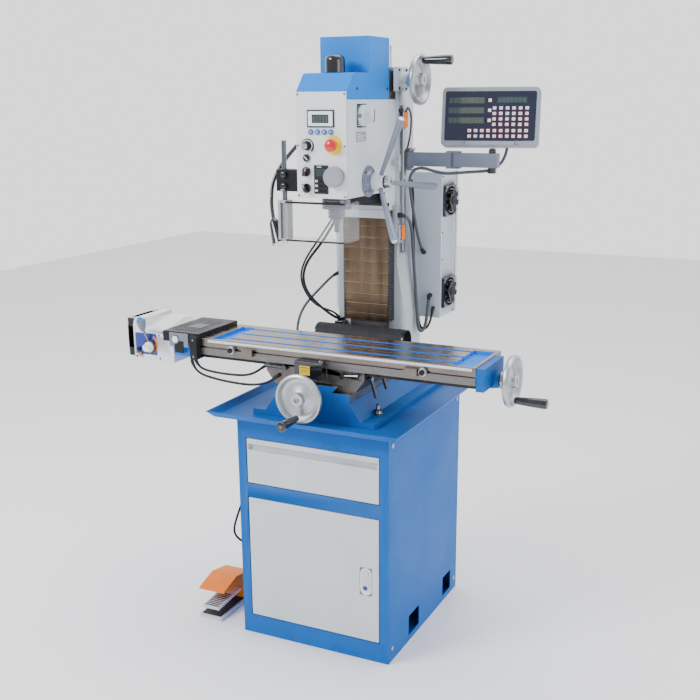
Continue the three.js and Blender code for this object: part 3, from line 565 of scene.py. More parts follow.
def wheel(node, axis, centre, way, back, front):
    """A dished handwheel with its hub, nut and graduated ring; back and front are the hub's ends."""
    web_back = [(0, back), (17, back), (19, back + 2), (19, -9), (21, -7.5), (44, -14.5), (56, -11.5),
                (61, -6)]
    rim = [(64.5, -8.5), (68.2, -6.5), (70, -2), (70, 3.4), (68.4, 7.4), (65.4, 9), (62, 8), (60.4, 5.2)]
    web_front = [(58.4, 1), (55.6, -4.8), (50, -7.6), (44, -8.2), (32, -4.4), (21, -0.6), (19.4, 0.8),
                 (18.6, 3)]
    boss = [(17.8, front - 1.4), (16.4, front), (8, front), (7.4, front - 1), (7.2, front - 3),
            (0, front - 3)]
    section = web_back + rim + web_front + boss
    p = Piece(node.replace("hand", "")).lathe(SILVER, axis, centre, facing(section, way), 96)
    p.lathe(CHROME, axis, centre, facing(stud(6.2, front - 4, front - 0.6, 5.2, front), way), 6)
    scale = [(19.1, back + 4), (24, back + 4), (25, back + 5), (25, back + 14), (24, back + 15),
             (19.1, back + 15)]
    p.lathe(SILVER, axis, centre, facing(scale, way), 72)
    for k in range(50):
        run = 6.5 if k % 5 == 0 else 4
        lo, hi = mirrored(way, back + 6, back + 6 + run)
        spot = Matrix.Translation(centre) @ Matrix.Rotation(2 * math.pi * k / 50, 4, axis.upper())
        mark = (lo, hi, -0.25, 0.25) if axis == "x" else (-0.25, 0.25, lo, hi)
        p.box(INK, *mark, 24.9, 25.1, place=spot)
    p.done(node, [node], "handwheel_aluminium")


def handle(wheel_name, axis, centre, way):
    """A swelling revolving grip on a wheel's rim."""
    end = GRIP_FOOT + GRIP_LENGTH
    body = [(0, 7.8), (7.4, 7.8), (7.4, 10), (9.2, 10.6), (9.8, 14), (10.8, 30), (12.5, 54)]
    body += [(13.7, end - 18), (14, end - 8), (13.6, end - 3), (12, end - 0.8), (8, end), (4.5, end)]
    body += [(4.2, end - 1), (0, end - 1)]
    collar = stud(7.6, 7.6, 9.6, 6.2, 10.2)
    bolt = [(0, end - 1.4), (3.6, end - 1.4), (3.2, end - 0.4), (0, end - 0.2)]
    p = Piece(wheel_name[0] + "_grip").lathe(GLOSS, axis, centre, facing(body, way), 48)
    p.lathe(CHROME, axis, centre, facing(collar, way), 32)
    p.lathe(CHROME, axis, centre, facing(bolt, way), 24)
    p.done(wheel_name + "_grip", [wheel_name + "_grip"], "plastic_black")


GRIP_FOOT, GRIP_LENGTH, GRIP_CIRCLE = 7.5, 90, 52
Y_WHEEL, X_WHEEL, Z_WHEEL = (0, -337, 781), (539, -151, 847), (152, 132, 1615)
Y_GRIP = arc(0, 781, GRIP_CIRCLE, -94, -94, 1)[0]
wheel("y_handwheel", "y", Y_WHEEL, -1, -36.5, 14)
wheel("x_handwheel", "x", X_WHEEL, 1, -31, 14)
wheel("z_handwheel", "x", Z_WHEEL, 1, -33, 14)
handle("y_handwheel", "y", (Y_GRIP[0], -337, Y_GRIP[1]), -1)
handle("x_handwheel", "x", moved(X_WHEEL, z=-GRIP_CIRCLE), 1)
handle("z_handwheel", "x", moved(Z_WHEEL, z=GRIP_CIRCLE), 1)

# ---------- saddle ----------
saddle = Piece("saddle_skin").node("saddle", DARKSTEEL, [
    (GLOSS, lambda c, n: -48 < c.x < 40 and c.y < -247 and 822 < c.z < 871.5),
    (CHROME, lambda c, n: c.y < -247 and 787 < c.z < 822 and abs(c.x) < 60),
], 0.9)
saddle.box(YELLOW, -30, 2, -276.4, -275.2, 832, 858, 0.4)
for end, low, high in ((-1, 852, 854), (-9, 846, 847.4), (-5, 841, 842.4)):
    saddle.box(INK, -27, end, -276.7, -276.2, low, high, 0.2)
saddle.lathe(CHROME, "z", (30, -262, 870), stud(8, 0, 3, 6.4, 4), 24)
saddle.done("saddle", ["saddle"], "ground_steel")

# ---------- table ----------
SLOT_YS = (-92, -156, -222)
TROUGH_FRONT, TROUGH_BACK = -247, -71


def slot_floor(c, n):
    return 860 < c.z < 890.5 and n.z > 0.7 and -246 < c.y < -71 and -336 < c.x < 463


def slot_wall(c, n):
    beside = min(abs(c.y - y) for y in SLOT_YS) < 11
    return beside and 879 < c.z < 898.8 and abs(n.y) > 0.5 and -292 < c.x < 407


def trough_wall(c, n):
    in_trough = (-336 < c.x < -288 or 403.5 < c.x < 463) and TROUGH_FRONT < c.y < TROUGH_BACK
    return in_trough and 872 < c.z < 898.6 and max(abs(n.x), abs(n.y)) > 0.5


table = Piece("table_skin").node("table", GROUND, [
    (VIVID, slot_floor), (VIVID, slot_wall), (VIVID, trough_wall),
    (BLACK, lambda c, n: -256.3 < c.y < -250 and 871 < c.z < 879.5 and (abs(n.z) > 0.5 or c.y > -254)),
    (MACHINED, lambda c, n: c.z < 871 and n.y < -0.5),
], 0.5)
table.box(PALE, -340, 462, -256.9, -256.0, 889.2, 896.4, 0.2)
for k in range(161):
    x = -336 + k * 4.95
    tall = 5.4 if k % 10 == 0 else (4.0 if k % 5 == 0 else 2.6)
    table.box(INK, x - 0.3, x + 0.3, -257.15, -256.8, 889.6, 889.6 + tall)
for x in (-258, 330):
    table.lathe(SILVER, "y", (x, -262, 875), [(0, 6), (10, 6), (11, 5), (11, -5), (10, -6), (0, -6)], 40)
    table.lathe(BLACK, "y", (x, -268, 875), [(0, 0), (7, 0), (8, -1), (8, -3.6), (7, -4.6), (0, -4.6)], 24)
table.done("table", ["table"], "ground_steel")
Piece("bracket_right_skin").node("table_bracket_right", BLUE, [
    (SILVER, lambda c, n: c.x > 505.5 and n.x > 0.8),
], 2.0).done("table", ["table_bracket_right"], "paint_blue")

left = Piece("bracket_left_skin").node("table_bracket_left", VIVID, [
    (BLACK, lambda c, n: c.z > 880.5 or c.x > -393),
    (BLACK, lambda c, n: c.y < -262 and c.z > 848),
], 1.6)
left.box(ARMGREY, -470, -404, -264.4, -262, 868, 909, 1.2)
left.lathe(WHITE, "y", (-448, -264.4, 890), [(0, 0), (10, 0), (10, -3), (8.4, -4.6), (0, -5)], 40)
left.lathe(CHROME, "y", (-448, -264.4, 890), [(10.2, 0), (12.6, 0), (12.6, -1.6), (10.2, -2)], 40)
left.box(INK, -470, -400, -236, -90, 911.6, 912.5, 0.3)
for k in range(6):
    left.box(LCDGREEN, -456 + k * 2, -408, -190 + k * 9, -186 + k * 9, 912.4, 912.8)
for z in (846, 896):
    left.lathe(CHROME, "y", (-379.5, -276, z), stud(3.4, 0, -1, 2.4, -1.6), 20)
left.done("table", ["table_bracket_left"], "plastic_black")

# ---------- power feed ----------
feed = Piece("power_feed_skin").node("power_feed_housing", PALE, [
    (GLOSS, lambda c, n: c.x < -604.5),
], 5.0)
feed.prism(FILMBLUE, "y", rounded(-598, -522, 832, 896, 3), -257.2, -255.9, 0.4)
feed.prism(GLOSS, "x", rounded(-250, -110, 822, 936, 22), -629.5, -607, 6.0, 3)
feed.prism(BLACK, "x", rounded(-246, -114, 826, 932, 18), -631, -629, 1.0)
for k in range(4):
    z = 842 + k * 24
    feed.box(BLACK, -631.6, -630.6, -236, -124, z, z + 12, 0.4)
for x, z in ((-596, 823), (-512, 823), (-512, 893)):
    feed.lathe(INK, "y", (x, -256.2, z), stud(2.6, 0, -1, 1.8, -1.5), 16)
feed.prism(ORANGE, "y", arc(-550, 864, 32, -54, 54, 18) + arc(-550, 864, 26.5, 54, -54, 18), -258.0, -257.0)
for x, z, mat in ((-586, 846, BLACK), (-580, 830, BRASS)):
    feed.lathe(mat, "y", (x, -256.5, z), stud(6.5, 0, -5, 5.4, -6.6), 32)
feed.done("table", ["power_feed_housing"], "panel_white")
lever = Piece("feed_lever_look")
lever.lathe(GLOSS, "y", (-545, -256.6, 857), [(0, 0), (22, 0), (22, -4), (20.6, -6), (0, -6.2)], 64)
lever.tube(CHROME, [(-547, -261, 874), (-549, -268, 890), (-552, -278, 912)], 3.6, 20)
lever.tube(ARMGREY, [(-552, -279, 907), (-552.4, -279.4, 912), (-553.4, -280, 921), (-554.6, -281, 931),
                     (-555.4, -281.6, 938), (-556, -282, 942.4), (-556.3, -282.3, 944.6)], 10, 40,
           radii=[5.6, 7.4, 11, 13.8, 14.4, 13, 9.6])
lever.tube(SKY, [(-555.4, -287, 933), (-555.6, -289, 940), (-556, -286, 944.4), (-556.2, -283, 945.4)],
           8, 24, radii=[6, 8.4, 8.4, 6])
lever.done("feed_lever", ["feed_lever"], "plastic_black")
dial = Piece("feed_dial_look")
dial.lathe(WHITE, "y", (-545, -263, 857), [(0, 0), (16, 0), (16, -4), (14.6, -6), (12.5, -6.6), (11.8, -16),
                                           (10.6, -18.6), (0, -19.4)], 64, lobes=14, depth=0.03)
dial.box(INK, -545.7, -544.3, -283.2, -282, 860, 867, 0.3)
dial.done("feed_speed_dial", ["feed_speed_dial"], "panel_white")

# ---------- column and way covers ----------
column = Piece("column_skin").node("column", CAST, [
    (MACHINED, lambda c, n: abs(c.x) < 59 and c.y < 133),
    (SILVER, lambda c, n: c.x > 84.5 and 149 < c.y < 179 and 1119 < c.z < 1546),
    (HEAD, lambda c, n: c.z > 1583 and c.x > 84.5),
    (SILVER, lambda c, n: c.z > 1651),
], 1.2)
for z in (1140, 1332, 1525):
    column.lathe(CHROME, "x", (92, 164, z), stud(4.5, 0, 1.6, 3.4, 2.4), 20)
column.box(CAST, 91.8, 93.2, 153, 158, 1125, 1540, 0.3)
column.box(ORANGE, 92.2, 97, 156, 180, 1482, 1526, 3.0)
column.box(GLOSS, 84, 98, 140, 152, 1526, 1536, 2.0)
scale_lead = [(95, 166, 1524), (99, 172, 1538), (103, 184, 1520), (103, 186, 1480), (100, 178, 1440),
              (97, 170, 1420), (90, 168, 1408)]
column.tube(GLOSS, smooth_line(scale_lead, 40), 3, 12)
column.box(GLOSS, -112, -84, 100, 134, 868, 905, 3.0)
column.box(GLOSS, 84, 122, 100, 134, 838, 890, 3.0)
column.box(CAST, 112, 140, 104, 150, 812, 838, 2.0)
for z in (1592, 1642):
    for y in (110, 160):
        column.lathe(GLOSS, "x", (98, y, z), [
            (0, 0), (4, 0), (4, 2.4), (3.2, 3.2), (1.8, 3.2), (1.8, 1.2), (0, 1.2)], 20)
column.done("stand", ["column"], "paint_grey")

cover = Piece("way_cover_lower_look")
folds = [915, 939, 970, 999, 1032, 1063, 1098, 1137, 1168, 1200, 1224, 1249.5]
for k, (a, b) in enumerate(zip(folds, folds[1:])):
    grow = 0.55 * k
    if k == len(folds) - 2:
        cover.box(HEAD, -76, 76, 92.2, 98, a + 1, b, 1.0)
        continue
    edge, near = 70 + grow, 94.6 - grow * 0.4
    leaf = [(-edge, 96.6), (-edge, near), (edge, near), (edge, 96.6)]
    hem = [(-edge, 97.4), (-edge, 95.2), (edge, 95.2), (edge, 97.4)]
    cover.prism(BROWN, "z", leaf, a + 0.6, b - 0.8, 0.9)
    cover.prism(BROWN, "z", hem, b - 1.6, b + 1.4, 0.4)
z = 916
while z < 1248:
    for s in (-1, 1):
        cover.box(GLOSS, *mirrored(s, 71, 76), 93, 133.4, z, z + 5.6, 1.3)
        cover.box(RUBBER, *mirrored(s, 70.4, 73.5), 96, 133.4, z + 5, z + 8.2)
    z += 7.8
cover.done("stand", ["z_way_cover_lower"], "plate_steel_brown",
           blend=("stand", "head", (0, 0.1, 0.92), (0, 0.1, 1.249)))

upper = Piece("way_cover_upper_look").box(GLOSS, -76, 76, 92.3, 96, 1563.6, 1639.6, 0.8)
for k in range(9):
    z = 1564 + k * 8.4
    for s in (-1, 1):
        upper.box(RUBBER, *mirrored(s, 70.4, 76), 95, 133.4, z, z + 6.6, 1.2)
        upper.box(BLACK, *mirrored(s, 70.4, 74), 95, 133.4, z + 6, z + 8.8)
upper.done("stand", ["z_way_cover_upper"], "rubber_black",
           blend=("stand", "head", (0, 0.1, 1.638), (0, 0.1, 1.565)))


def tunnel_line(r):
    """The cover's section in (y, z), at a radius from the axis of its bow."""
    level = 803.5 + r
    return [(-24.4, level), (32, level), *arc(68, 868, r, 180, 0, 28), (68 + r, 822)]


tunnel = Piece("y_cover_look")
tunnel.prism(RUBBER, "x", tunnel_line(35.6) + tunnel_line(33.4)[::-1], -149, 145, 0.5)
for x in (-149, 141):
    tunnel.prism(GLOSS, "x", tunnel_line(36.0) + tunnel_line(34)[::-1], x, x + 3.6, 0.3)
tunnel.done("stand", ["y_way_cover"], "rubber_black",
            blend=("stand", "saddle", (0, 0.1, 0.86), (0, -0.02, 0.86)))

# ---------- head ----------
SPINDLE = (0, -97, 0)
FEED_AXIS = (78, -55, 1343.5)
head = Piece("head_skin").node("head_casting", HEAD, [
    (MACHINED, lambda c, n: c.z < 1305.6 and n.z < -0.5),
    (DARKSTEEL, lambda c, n: math.hypot(c.x, c.y - SPINDLE[1]) < 38.6 and c.z < 1501),
], 2.2)
head.prism(NAVY, "x", [(-129, 1489), (-73, 1489), (-73, 1551), (-129, 1551)], 79, 80.0, 0.6)
for k in range(6):
    y0 = -125 + (k % 3) * 17
    z0 = 1531 if k < 3 else 1494
    head.box(WHITE, 79.9, 80.2, y0, y0 + 13, z0, z0 + 1.6)
    head.box(WHITE, 79.9, 80.2, y0, y0 + 9, z0 + 5, z0 + 6.2)
    head.box(SKY, 79.9, 80.2, y0, y0 + 13, z0 + 9, z0 + 12)
head.box(HEAD, 60, 77.6, -180.4, 24, 1305.6, 1561.4, 1.4)
head.box(BEZEL, 75.6, 78.2, -132, -68, 1452, 1478, 0.6)
for k, run in enumerate((48, 36, 52, 30)):
    head.box(WHITE, 78.1, 78.4, -127, -127 + run, 1456 + k * 5, 1457.4 + k * 5)
head.lathe(LEVERGREY, "x", FEED_AXIS, [
    (0, -1), (42, -1), (43, 0), (43, 3), (42, 4), (34, 4.4), (30, 7), (28, 14), (27, 15), (0, 15)], 96)
for y, z in arc(FEED_AXIS[1], FEED_AXIS[2], 37, 45, 315, 3):
    head.lathe(GLOSS, "x", (82, y, z), stud(3.2, -0.5, 1.6, 2.4, 2.4), 16)
head.lathe(GLOSS, "z", moved(SPINDLE, z=1303.9), [
    (38.6, 1.2), (47, 1.2), (47, -0.2), (46, -1.2), (39.6, -1.2), (38.6, -0.2)], 72)
head.done("head", ["head_casting"], "paint_grey")
slide = Piece("head_slide_skin").node("head_slide", HEAD, [
    (SILVER, lambda c, n: c.x > 77 and c.z < 1263),
    (MACHINED, lambda c, n: c.y > 133),
    # the slide's band just below the head is gloss black as painted shade cast under the head, not the slide's
    # grey paint
    (GLOSS, lambda c, n: c.z < 1304 and (c.y < 93 or c.z > 1262)),
], 1.6)
slide.box(SILVER, 92.6, 99, 118, 146, 1152, 1206, 1.2)
slide.box(ORANGE, 98.6, 103, 128, 150, 1160, 1204, 2.0)
slide.box(HEAD, -76.2, 76.6, 91, 96, 1250.6, 1262, 1.0)
for z in (1162, 1196):
    slide.lathe(CHROME, "x", (99, 124, z), stud(3.4, 0, 2, 2.6, 2.8), 16)
slide.done("head", ["head_slide"], "paint_grey")
hood = Piece("head_cover_skin").node("head_cover", SKY, bevel=5.0)
for y in (-120, 76):
    hood.lathe(INK, "x", (76, y, 1590), stud(4, -1, 0.6, 3, 1.2), 20)
hood.done("head", ["head_cover"], "paint_light_blue")
Piece("drawbar_cap_look").lathe(GLOSS, "z", SPINDLE, [
    (0, 1631.5), (26.4, 1631.5), (26.9, 1632.4), (26.9, 1663), (26, 1668.5), (23.4, 1673), (19, 1676.2),
    (12, 1677.6), (0, 1678)], 72).done("drawbar_cap", ["drawbar_cap"], "plastic_black")

# ---------- control panel ----------
panel = Piece("panel_skin").node("control_panel", PALE, [
    (NAVY, lambda c, n: -41 < c.x < 41 and c.y < -184.5 and 1490 < c.z < 1537),
    (GLOSS, lambda c, n: -23 < c.x < 21 and c.y < -184.5 and 1316 < c.z < 1394),
    (KEYBLUE, lambda c, n: c.y < -184.5 and 1472 < c.z < 1486),
], 0.7)
front = -184.3
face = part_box("control_panel")[0].y / MM
SPEED_KNOB, STOP_BUTTON = (-42, -185, 1443), (37, 0, 1445)
KEY_SWITCH, FINE_FEED = (-44, 0, 1411), (42, 0, 1363)
MODE_SELECTOR, DIRECTION_SELECTOR = (-44, 0, 1375), (-44, 0, 1331)
panel.box(WHITE, -36.5, 36.5, face - 0.5, face + 0.5, 1494.5, 1532.5, 0.5)
panel.box(LCDDARK, -25, 25, face - 0.9, face - 0.3, 1502, 1524, 0.4)
for k in range(5):
    x = -21 + k * 9
    for z0, z1 in ((1506, 1511.6), (1513, 1519)):
        panel.box(LCDGREEN, x, x + 0.8, face - 1.1, face - 0.7, z0, z1)
        panel.box(LCDGREEN, x + 4.4, x + 5.2, face - 1.1, face - 0.7, z0, z1)
    for z in (1505.4, 1512, 1519):
        panel.box(LCDGREEN, x + 0.5, x + 4.7, face - 1.1, face - 0.7, z, z + 0.8)
for k, x in enumerate((-30, -10, 10, 30)):
    panel.lathe(KEYBLUE, "y", (x, front, 1479), stud(7.2, 0.5, -3.4, 6.2, -4.2), 40)
    panel.box(WHITE, x - 2.8, x + 2.8, front - 4.5, front - 4.1, 1478.1, 1479.9)
    if k in (1, 2):
        panel.box(WHITE, x - 0.9, x + 0.9, front - 4.5, front - 4.1, 1476.4, 1481.6)
for x in (-70, 70):
    for z in (1311, 1443, 1576):
        panel.lathe(CHROME, "y", (x, front, z), stud(3, 0.4, -1, 2.2, -1.8), 20)
        panel.box(INK, x - 2, x + 2, front - 1.95, front - 1.7, z - 0.35, z + 0.35)
panel.box(LCDDARK, -16, 14, face - 0.4, face + 0.5, 1364, 1383, 0.4)
panel.box(CAST, -12, 2, face - 0.6, face + 0.2, 1387, 1389.4, 0.2)
for row in range(3):
    for k, key in enumerate((CAST, BLACK, BLACK)):
        x, z = -18 + k * 11, 1323 + row * 12.6
        panel.box(key, x, x + 8.4, face - 1.4, face + 0.5, z, z + 6, 1.0)
for k in range(28):
    wide = 16.6 + (28 - k) * 0.16
    step = [arc(SPEED_KNOB[0], SPEED_KNOB[2], r, -50 + 10 * k, -40 + 10 * k, 1) for r in (16, wide)]
    panel.prism(NAVY, "y", step[0] + step[1][::-1], front - 0.3, front + 0.2)
panel.lathe(YELLOW, "y", (STOP_BUTTON[0], front, STOP_BUTTON[2]), [
    (12, 0.3), (25.5, 0.3), (25.5, -0.8), (24.8, -1.2), (16, -1.2), (15, -5.4), (14, -6.2), (12, -6.2),
    (12, 0.3)], 72)
for x, _, z in (MODE_SELECTOR, DIRECTION_SELECTOR):
    for u, v in arc(x, z, 18.4, -60, 240, 10):
        if u < x + 16.56:
            panel.lathe(INK, "y", (u, front, v), plug(1, 0.1, -0.3), 10)
panel.done("head", ["control_panel"], "panel_white")

knob = Piece("speed_knob_look").lathe(BLACK, "y", SPEED_KNOB, [
    (0, 0), (13, 0), (13, -2), (11, -3.6), (10.4, -14), (9.4, -15.6), (0, -15.6)], 60, lobes=20, depth=0.05)
knob.lathe(SILVER, "y", moved(SPEED_KNOB, y=-15.4), stud(8, 0.2, -0.4, 7.4, -0.8), 48)
knob.box(INK, -42.8, -41.2, -201.4, -200.8, 1444, 1451)
knob.done("speed_knob", ["speed_knob"], "plastic_black")

Piece("stop_button_look").lathe(RED, "y", STOP_BUTTON, [
    (0, -189.6), (9, -189.6), (9, -196), (15.6, -198), (16.8, -200), (16.8, -204), (15.4, -208.4),
    (11, -211.6), (5, -212.8), (0, -213)], 72).done("stop_button", ["stop_button"], "stop_red")

switch = Piece("key_switch_look").lathe(CHROME, "y", KEY_SWITCH, [
    (0, -185), (11, -185), (11, -187), (10.2, -188.4), (8, -188.8), (0, -188.8)], 56)
switch.lathe(BLACK, "y", KEY_SWITCH, plug(8, -188, -191), 48)
switch.box(WHITE, -50.5, -37.5, -192.4, -190.6, 1409.6, 1412.4, 0.6, place=about(KEY_SWITCH, 0.7, "Y"))
switch.done("key_switch", ["key_switch"], "plastic_black")

SELECTORS = (("mode_selector", MODE_SELECTOR, 0.5), ("direction_selector", DIRECTION_SELECTOR, -0.4))
for name, spot, lean in SELECTORS:
    spin, z = about(spot, lean, "Y"), spot[2]
    selector = Piece(name + "_look").lathe(WHITE, "y", spot, stud(14.5, -185, -186.2, 13.8, -187), 56)
    selector.lathe(GLOSS, "y", spot, stud(13.2, -186.8, -190, 11.6, -191.6), 56)
    selector.box(GLOSS, -48, -40, -202.6, -190, z - 12.6, z + 12.6, 2.6, 3, place=spin)
    selector.box(WHITE, -44.5, -43.5, -202.9, -202.3, z + 2, z + 11, place=spin)
    selector.done(name, [name], "plastic_black")

fine = Piece("fine_feed_look").lathe(BEZEL, "y", FINE_FEED, [
    (0, -188), (22, -188), (26, -189.4), (27, -192), (27, -204), (26, -207), (24, -208), (10, -208.2),
    (0, -208.2)], 96)
fine.lathe(INK, "y", FINE_FEED, [(27, -190), (27.3, -190), (27.3, -191.4), (27, -191.4)], 72)
fine.done("fine_feed_knob", ["fine_feed_knob"], "paint_grey")

# ---------- spindle, feed levers and knobs on the side ----------
Piece("quill_look").lathe(CHROME, "z", SPINDLE, [
    (20.4, 1269.4), (39.6, 1269.4), (41, 1270.8), (41, 1276), (40.2, 1277), (40.2, 1279), (41, 1280),
    (41, 1295.6), (39.6, 1297), (37.8, 1297.4), (37.8, 1489), (20.4, 1489)], 96).done(
    "quill", ["quill"], "handwheel_aluminium")
Piece("spindle_look").lathe(CHROME, "z", SPINDLE, [
    (0, 1204.4), (5, 1204.4), (7.4, 1206.6), (7.5, 1229), (9, 1230), (11.6, 1230.4), (12, 1231.4), (12, 1242),
    (13, 1243.2), (22.6, 1243.6), (24, 1245), (24, 1252), (23, 1253), (23, 1255), (24, 1256), (24, 1267),
    (23, 1268.2), (19.6, 1268.6), (19.6, 1300), (0, 1300)], 72).lathe(GLOSS, "z", SPINDLE, [
    (0, 1203.9), (3.2, 1203.9), (3.2, 1206), (0, 1206)], 24).done(
    "spindle", ["spindle"], "handwheel_aluminium")

HUB = moved(FEED_AXIS, x=31)
hub = Piece("feed_hub_look").lathe(HEAD, "x", HUB, [
    (0, -15.4), (22, -15.4), (24.6, -11), (26.6, -4), (27, 2), (25.6, 9), (22.4, 15), (18, 19), (0, 19)], 96)
hub.lathe(GLOSS, "x", HUB, [(0, 18), (17.4, 18), (17.8, 19), (17.8, 22), (17, 23), (0, 23)], 60)
hub.lathe(SILVER, "x", HUB, [(0, 22), (14.4, 22), (15, 23), (15, 34), (13.6, 36.4), (9, 37.6), (0, 37.8)], 72)
hub.lathe(CHROME, "x", moved(HUB, x=37), [(0, 0), (5, 0), (5, 1.4), (3.6, 2.4), (0, 2.6)], 32)
LEVER_TILT = math.radians(28)
LEVER_BAR = [(20, 6.4), (27, 6.6), (28, 5.6), (60, 6.4), (120, 8.2), (170, 9.6), (202, 10.4), (206.4, 9.8),
             (208, 8)]
LEVER_END = [(205, 9.0), (207, 8.6), (208.6, 7.4)]
for turn in (112.6, -7.4, -127.4):
    across, up = (math.cos(LEVER_TILT) * c for c in arc(0, 0, 1, turn, turn, 1)[0])
    way = Vector((math.sin(LEVER_TILT), across, up))
    for mat, bar, r, sides in ((LEVERGREY, LEVER_BAR, 9, 40), (WHITE, LEVER_END, 8, 32)):
        hub.tube(mat, [Vector(HUB) + way * run for run, _ in bar], r, sides, radii=[wide for _, wide in bar])
hub.done("feed_lever_hub", ["feed_lever_hub"], "paint_grey", smooth=40)

GEAR_KNOB = (0, -101, 1520)
knob = Piece("gear_knob_look").lathe(HEAD, "x", GEAR_KNOB, [
    (0, 80.4), (26.6, 80.4), (28, 82), (28, 88), (26, 91), (20, 94), (18.6, 96), (18, 113), (16.4, 116.6),
    (12, 118), (0, 118.2)], 72)
knob.box(INK, 117.0, 118.6, -103.4, -98.6, 1504, 1536, 0.4, place=about(GEAR_KNOB, -0.12, "X"))
knob.box(LEVERGREY, 82, 92, -130, -125, 1515, 1525, 1.0)
knob.done("gear_knob", ["gear_knob"], "paint_grey")
lock = Piece("head_lock_skin").node("head_lock_lever", SILVER, bevel=1.6)
lo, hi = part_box("head_lock_lever")
mid = (lo + hi) / 2 / MM
lock.lathe(SILVER, "x", (hi.x / MM - 14, mid.y, mid.z), [
    (0, 0), (9, 0), (10, 2), (10, 11), (8, 14), (0, 14.6)], 48)
lock.done("head_lock_lever", ["head_lock_lever"], "handwheel_aluminium")

# ---------- guard ----------
clamp = Piece("guard_clamp_skin").node("guard_clamp", BLACK, bevel=2.0)
for y, z in ((-128, 1330), (-128, 1362)):
    clamp.lathe(GLOSS, "y", (-140, y - 10, z), [
        (0, 0), (8, 0), (9, -2), (9, -10), (7.6, -12), (0, -12)], 40, lobes=8, depth=0.12)
clamp.box(SILVER, -153, -139, -141.8, -139.6, 1318, 1321, 0.4)
clamp.done("head", ["guard_clamp"], "plastic_black")
guard = Piece("guard_skin").node("chip_guard", CLEAR, [
    (CHROME, lambda c, n: (c.x + 151) ** 2 + (c.y + 120) ** 2 < 9 ** 2 and c.z > 1178),
    (SILVER, lambda c, n: c.x < -135.5),
    (GLOSS, lambda c, n: n.z < -0.9 or (n.z > 0.9 and c.x > -136)),
], 0.6)
for low, high in ((1284, 1290), (1179, 1184)):
    guard.box(GLOSS, -135, 51, -148.6, -144, low, high, 0.5)
guard.done("chip_guard", ["chip_guard"], "guard_clear")

# ---------- lamp ----------
LAMP_FOOT = (-76.4, -60, 1470)
lamp = Piece("lamp_look")
neck = smooth_line([LAMP_FOOT, (-88, -60, 1470), (-115, -60, 1458), (-155, -60, 1425), (-198, -58, 1378),
                    (-228, -52, 1330), (-236, -50, 1285), (-231, -55, 1245), (-219, -64, 1212)], 150)
lamp.tube(GLOSS, neck, 6, 16, radii=[6 - (0.9 if k % 2 else 0) for k in range(151)])
lamp.lathe(GLOSS, "x", LAMP_FOOT, [(0, 0), (13, 0), (13, -6), (10, -9), (6, -10), (0, -10)], 40)
top, end = Vector((-222, -62, 1220)), Vector((-194, -78, 1160))
run = end - top
shade_line = [top + run * t for t in (-0.12, 0, 0.06, 0.5, 0.94, 1.0)]
lamp.tube(GLOSS, shade_line, 16, 48, radii=[9, 14, 16, 20, 23.6, 24])
lamp.tube(LENS, [top + run * 0.995, top + run * 1.012], 20, 40, radii=[21, 20.6])
lamp.done("work_lamp", ["work_lamp"], "plastic_black")

# ---------- readout ----------
ARM_END = (353, 190, 0)
arm = Piece("arm_outer_skin").node("readout_arm_outer", ARMGREY, [
    (GLOSS, lambda c, n: c.z > 1412.5 or c.z < 1371.5),
], 1.4)
arm.lathe(GLOSS, "z", ARM_END, [
    (0, 1356), (12, 1356), (13, 1358), (13, 1368), (11, 1371), (0, 1371.8)], 48, lobes=6, depth=0.18)
arm.lathe(GLOSS, "z", ARM_END, [
    (0, 1412), (11, 1412.2), (11, 1414), (7, 1416), (6.4, 1418), (9, 1420), (10, 1423), (8, 1426),
    (0, 1426.4)], 48)
arm.done("readout_arm_outer", ["readout_arm_outer"], "paint_grey")

pose = (Matrix.Translation(moved(ARM_END, z=1418)) @ Matrix.Rotation(math.radians(11.6), 4, "Z")
        @ Matrix.Rotation(math.radians(-10), 4, "X"))
dro = Piece("readout_look", pose)
dro.prism(BEZEL, "y", rounded(-152, 126, 16, 181, 12), 12, 55.6, 3.0)
dro.prism(BEZEL, "y", rounded(-151, 125, 17, 180, 12), 10.2, 14, 1.4)
dro.prism(BEZEL, "x", [
    (12, 16.2), (12, 31), (6, 30), (1, 28), (-4, 24), (-6.4, 20), (-5, 16), (0, 13)], -79, 59, 1.8)
dro.prism(NAVY, "y", rounded(-142, 116, 31, 169, 5), 9.2, 12, 0.5)
dro.place = pose @ Matrix.Translation((14, 0, 3))
for row, z in enumerate((140, 112, 84)):
    dro.box(LCDDARK, -147, -112, 8.6, 10, z - 8, z + 9, 0.4)
    dro.box(LCDOLIVE, -112, -44, 8.6, 10, z - 8, z + 9, 0.4)
    for k in range(8):
        x = -143 + k * 12.2
        for dz in (-5.6, 0, 5.6):
            dro.box(SEGMENT, x + 1, x + 6.4, 8.3, 8.7, z + dz - 0.5, z + dz + 0.5)
        for dx in (0, 6.6):
            for dz in (-5.1, 0.6):
                dro.box(SEGMENT, x + dx, x + dx + 0.9, 8.3, 8.7, z + dz, z + dz + 4.6)
    dro.box(MAROON, -34.5, -22.5, 8.2, 9.6, z - 5.5, z + 6.5, 0.5)
    dro.box(WHITE, -33, -24, 7.6, 9.2, z - 4, z + 5, 0.8)
dro.box(LCDDARK, -8, 76, 8.6, 10, 133, 150, 0.4)
for k in range(7):
    x = -4 + k * 11.4
    for dz in (-5, 0, 5):
        dro.box(SEGMENT, x + 1, x + 6, 8.3, 8.7, 141.5 + dz - 0.5, 141.5 + dz + 0.5)
    for dx in (0, 6.2):
        dro.box(SEGMENT, x + dx, x + dx + 0.9, 8.3, 8.7, 137, 146)


def key(x, z, w=9.6, h=8.4):
    dro.box(MAROON, x - w / 2 - 1.4, x + w / 2 + 1.4, 8.4, 9.7, z - h / 2 - 1.4, z + h / 2 + 1.4, 0.4)
    dro.box(WHITE, x - w / 2, x + w / 2, 7.6, 9.3, z - h / 2, z + h / 2, 1.0)
    dro.box(INK, x - w / 4, x + w / 4, 7.4, 7.8, z - 0.5, z + 0.6)


